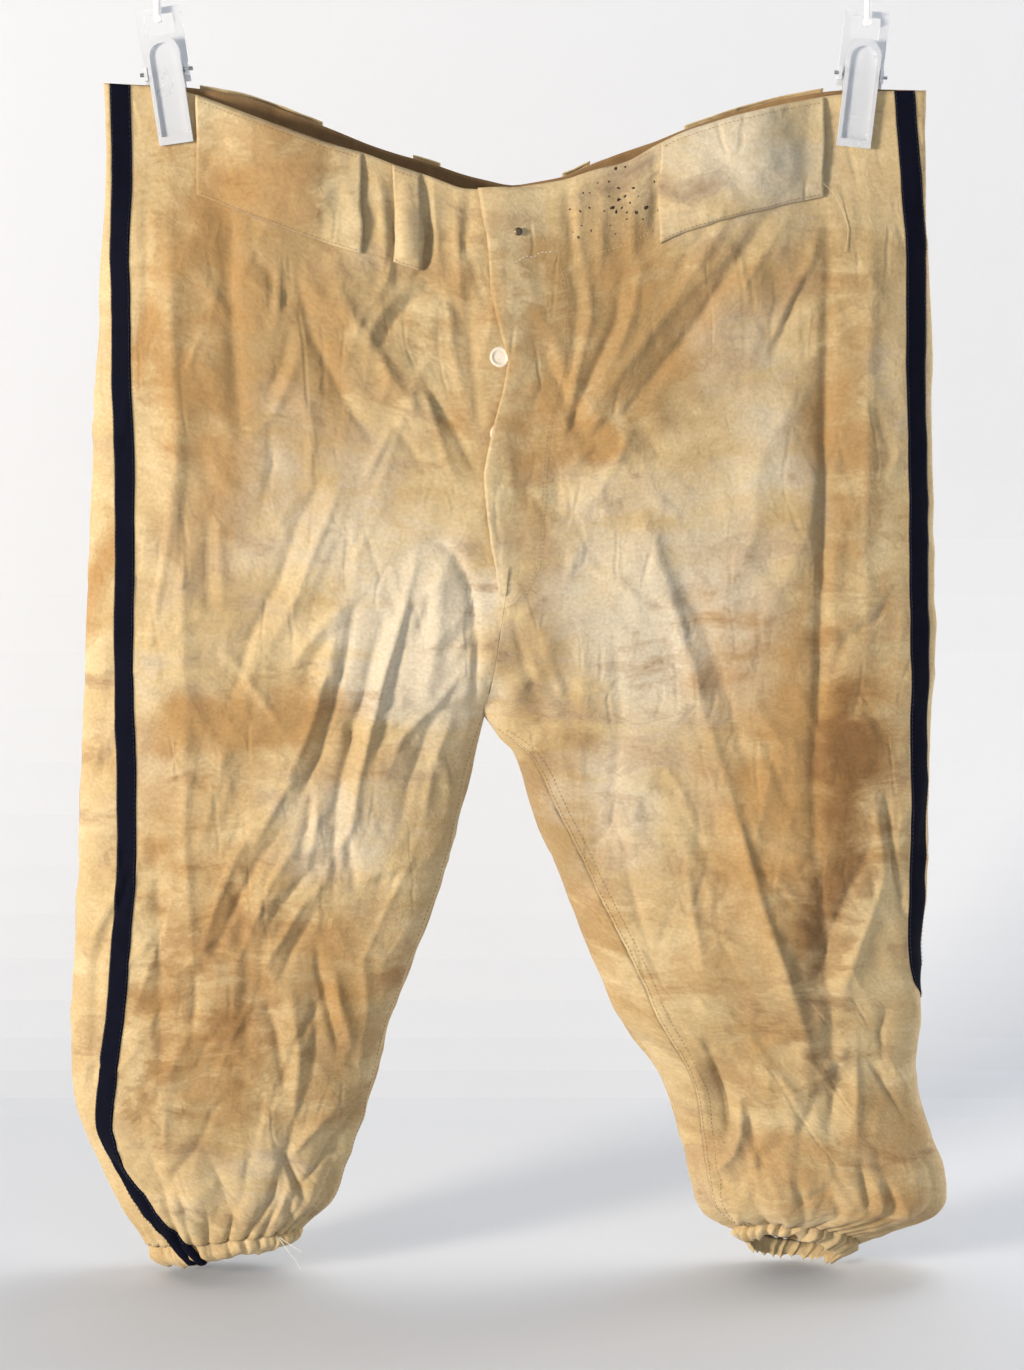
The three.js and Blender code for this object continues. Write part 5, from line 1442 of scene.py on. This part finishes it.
def loose_threads():
    """One long thread that hangs from the waist, and two short ones at the right hem."""
    waist = [cloth_point("front", x, d)[0] + np.array([0, -r, 0]) for x, d, r in (
        (193, 62, 6.5), (200, 68, 3), (206, 80, 1.2), (209, 90, 0.9), (208, 98, 0.9), (206.5, 104, 1.6))]
    tube("loose_thread_waist", waist, 0.22, "thread")
    tube("loose_thread_hem", [(-152, -22, -890), (-146, -27, -897), (-140, -30, -903), (-137, -31, -909)],
         0.2, "thread_white")
    tube("loose_thread_hem_short", [(-151, -22, -890), (-144, -28, -893), (-136, -30, -897)], 0.2, "thread_white")


# ---------------------------------------------------------------- stage, in metres

SWEEP = {"near": -3.0, "bend": 0.35, "round": 0.45, "tall": 3.2, "half": 3.5}
# Lights: name, place, watts, size, colour. The key stands far to the left, so that every fold throws its shade.
LIGHTS = (
    ("key", (-3.2, -2.3, 0.0), 195, 0.8, "#fff2e2"),
    ("fill", (0.9, -2.4, 0.3), 9, 1.6, "#eef3ff"),
    ("rim", (0.6, 0.55, 1.0), 12, 1.0, "#ffffff"),
    ("back", (1.9, 0.62, -0.2), 26, 1.0, "#fff6ea"),
)
LIT_FROM_ROOM = 0.3       # the room's strength on the cloth
ROOM_SEEN = 0.85          # and behind it
CLOTH_MIDDLE = (0, 0, -0.5)
# The photo's view: two metres away and nine degrees up, aimed at the middle of the cloth
AWAY, UP, AIM_Z, LENS, SENSOR = 2.0, math.radians(9.0), -0.5291, 82.1, 36.0


def backdrop(context, floor_z):
    """Pale paper that runs under the pants and up behind them."""
    bend, radius = SWEEP["bend"], SWEEP["round"]
    profile = [(SWEEP["near"], 0.0), (bend, 0.0)]
    profile += [(bend + radius * math.sin(a), radius - radius * math.cos(a))
                for a in np.linspace(0.1, math.pi / 2, 14)]
    profile += [(bend + radius, SWEEP["tall"])]
    points = [(x, y, z + floor_z) for y, z in profile for x in (-SWEEP["half"], SWEEP["half"])]
    faces = [(2 * i, 2 * i + 1, 2 * i + 3, 2 * i + 2) for i in range(len(profile) - 1)]
    mesh = bpy.data.meshes.new("sweep")
    mesh.from_pydata(points, [], faces)
    sweep = bpy.data.objects.new("sweep", mesh)
    context.collection.objects.link(sweep)
    material, tree, shader = new_material("pale_backdrop", {
        "Base Color": colour("#d6dbe2"), "Roughness": 0.95, "Specular IOR Level": 0.1})
    # seen from behind, the paper is clear, so that the back of the cloth can be looked at too
    behind = add(tree, "NewGeometry").outputs["Backfacing"]
    clear = add(tree, "BsdfTransparent").outputs[0]
    shown = add(tree, "MixShader", {0: behind, 1: shader.outputs["BSDF"], 2: clear}).outputs[0]
    tree.links.new(shown, tree.nodes["Material Output"].inputs["Surface"])
    mesh.materials.append(material)


def lights(context):
    """A pale room, dim on the cloth, and the four soft lights."""
    world = bpy.data.worlds.new("studio")
    context.scene.world = world
    world.use_nodes = True
    room = world.node_tree.nodes["Background"]
    room.inputs["Color"].default_value = colour("#dfe5ee")
    seen = add(world.node_tree, "LightPath").outputs["Is Camera Ray"]
    strength = add(world.node_tree, "MapRange", {"Value": seen, "To Min": LIT_FROM_ROOM, "To Max": ROOM_SEEN})
    world.node_tree.links.new(strength.outputs["Result"], room.inputs["Strength"])
    for name, where, energy, size, tone in LIGHTS:
        data = bpy.data.lights.new(name, "AREA")
        data.energy, data.size = energy, size
        data.color = colour(tone)[:3]
        light = bpy.data.objects.new(name, data)
        light.location = where
        light.visible_camera = False
        light.rotation_euler = (Vector(CLOTH_MIDDLE) - Vector(where)).to_track_quat("-Z", "Y").to_euler()
        context.collection.objects.link(light)


def camera(context):
    """The camera at the photo's viewing angle."""
    data = bpy.data.cameras.new("camera")
    data.lens = LENS
    data.sensor_fit = "AUTO"
    data.sensor_width = SENSOR
    view = bpy.data.objects.new("camera", data)
    view.location = (0, -AWAY * math.cos(UP), AIM_Z + AWAY * math.sin(UP))
    view.rotation_euler = (math.pi / 2 - UP, 0, 0)
    context.collection.objects.link(view)
    context.scene.camera = view


# ---------------------------------------------------------------- operators

SOFT_EDGE = 0.5   # bevel of the hanger's, clips' and buttons' edges, millimetres


class PantsSettings(bpy.types.PropertyGroup):
    """Sizes and colours that the panel offers."""

    floor_gap: bpy.props.FloatProperty(name="Floor gap", description="Space under the lowest hem", default=0.001,
                                       unit="LENGTH", subtype="DISTANCE")
    cloth_thickness: bpy.props.FloatProperty(name="Cloth", description="Thickness of the twill", default=0.0009,
                                             unit="LENGTH", subtype="DISTANCE")
    cloth_colour: bpy.props.FloatVectorProperty(name="Twill", description="The washed twill where it is clean",
                                                default=colour("#decca3"), size=4, min=0, max=1, subtype="COLOR")
    soil_colour: bpy.props.FloatVectorProperty(name="Soil", description="The twill where dirt has sunk in",
                                               default=colour("#c0a576"), size=4, min=0, max=1, subtype="COLOR")
    braid_colour: bpy.props.FloatVectorProperty(name="Braid", description="The navy side braid",
                                                default=colour("#080d24"), size=4, min=0, max=1, subtype="COLOR")


class Builds:
    """What the operators share: each first works out the cloth and the finishes, if that isn't done yet."""

    def execute(self, context):
        build_cloth()
        make_materials(context.scene.pants)
        self.build(context)
        return {"FINISHED"}


class PANTS_OT_panels(Builds, bpy.types.Operator):
    """Build the front and back panels with their folds and stains"""

    bl_idname = "pants.panels"
    bl_label = "Panels"

    def build(self, context):
        for side in SIDES:
            for face in FACES:
                obj = panel(side, face)


class PANTS_OT_facings(Builds, bpy.types.Operator):
    """Build the strips inside the waist"""

    bl_idname = "pants.facings"
    bl_label = "Facings"

    def build(self, context):
        for side in SIDES:
            for face in FACES:
                facing(side, face)


class PANTS_OT_braid(Builds, bpy.types.Operator):
    """Lay the navy braid over the side seams"""

    bl_idname = "pants.braid"
    bl_label = "Side braid"

    def build(self, context):
        for side in SIDES:
            braid(side)


class PANTS_OT_casings(Builds, bpy.types.Operator):
    """Build the gathered hem casings"""

    bl_idname = "pants.casings"
    bl_label = "Hem casings"

    def build(self, context):
        for side in SIDES:
            casing(side)


class PANTS_OT_tunnels(Builds, bpy.types.Operator):
    """Sew on the belt tunnels and loops"""

    bl_idname = "pants.tunnels"
    bl_label = "Belt tunnels"

    def build(self, context):
        for k, (name, face, x0, x1, tall) in enumerate(TUNNELS):
            obj = tunnel(name, face, x0, x1, tall, FIRST_SEED + SEEDS_EACH * k)


class PANTS_OT_fly(Builds, bpy.types.Operator):
    """Build the fly flap and the stand under it"""

    bl_idname = "pants.fly"
    bl_label = "Fly"

    def build(self, context):
        fly_flap()
        fly_stand()


class PANTS_OT_sewing(Builds, bpy.types.Operator):
    """Add the stitch lines, loose threads and moth holes"""

    bl_idname = "pants.sewing"
    bl_label = "Sewing"

    def build(self, context):
        sew_legs()
        sew_waist()
        sew_fly()
        loose_threads()
        moth_holes()


class PANTS_OT_hardware(Builds, bpy.types.Operator):
    """Finish the hanger, clips, buttons and snap"""

    bl_idname = "pants.hardware"
    bl_label = "Hanger and buttons"

    def build(self, context):
        looks = {"hanger_bar": "hanger", "hanger_hook": "steel", "waist_snap": "snap"}
        for side in SIDES:
            for part, look in (("front_jaw", "clip"), ("back_jaw", "clip"), ("pin", "steel")):
                looks["clip_" + side + "_" + part] = look
        for k in (1, 2, 3):
            looks["fly_button_%d" % k] = "button"
        for name, look in looks.items():
            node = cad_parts[name]
            node.data.materials.clear()
            node.data.materials.append(MATERIALS[look])
            if look in ("clip", "hanger", "button"):
                bevel = node.modifiers.new("soft_edges", "BEVEL")
                bevel.width = SOFT_EDGE * MM
                bevel.segments = 2
                bevel.limit_method = "ANGLE"
                bevel.angle_limit = math.radians(35)
                node.modifiers.new("even_shading", "WEIGHTED_NORMAL")


class PANTS_OT_stage(Builds, bpy.types.Operator):
    """Set the floor, backdrop, lights and camera"""

    bl_idname = "pants.stage"
    bl_label = "Stage"

    def build(self, context):
        backdrop(context, FLOOR * MM - context.scene.pants.floor_gap)
        lights(context)
        camera(context)
        context.scene.view_settings.view_transform = "Standard"


OPERATORS = (
    PANTS_OT_panels, PANTS_OT_facings, PANTS_OT_braid, PANTS_OT_casings, PANTS_OT_tunnels, PANTS_OT_fly,
    PANTS_OT_sewing, PANTS_OT_hardware, PANTS_OT_stage,
)


class PANTS_PT_panel(bpy.types.Panel):
    """Buttons for each piece"""

    bl_label = "Baseball pants"
    bl_idname = "PANTS_PT_panel"
    bl_space_type = "VIEW_3D"
    bl_region_type = "UI"
    bl_category = "Pants"

    def draw(self, context):
        layout = self.layout
        for name in ("floor_gap", "cloth_thickness", "cloth_colour", "soil_colour", "braid_colour"):
            layout.prop(context.scene.pants, name)
        for operator in OPERATORS:
            layout.operator(operator.bl_idname)


CLASSES = (PantsSettings,) + OPERATORS + (PANTS_PT_panel,)


def register():
    for cls in CLASSES:
        bpy.utils.register_class(cls)
    bpy.types.Scene.pants = bpy.props.PointerProperty(type=PantsSettings)


def unregister():
    del bpy.types.Scene.pants
    for cls in reversed(CLASSES):
        bpy.utils.unregister_class(cls)


def main():
    """Registers the add-on and builds everything."""
    register()
    bpy.ops.pants.panels()
    bpy.ops.pants.facings()
    bpy.ops.pants.braid()
    bpy.ops.pants.casings()
    bpy.ops.pants.tunnels()
    bpy.ops.pants.fly()
    bpy.ops.pants.sewing()
    bpy.ops.pants.hardware()
    bpy.ops.pants.stage()


if __name__ == "__main__":
    main()
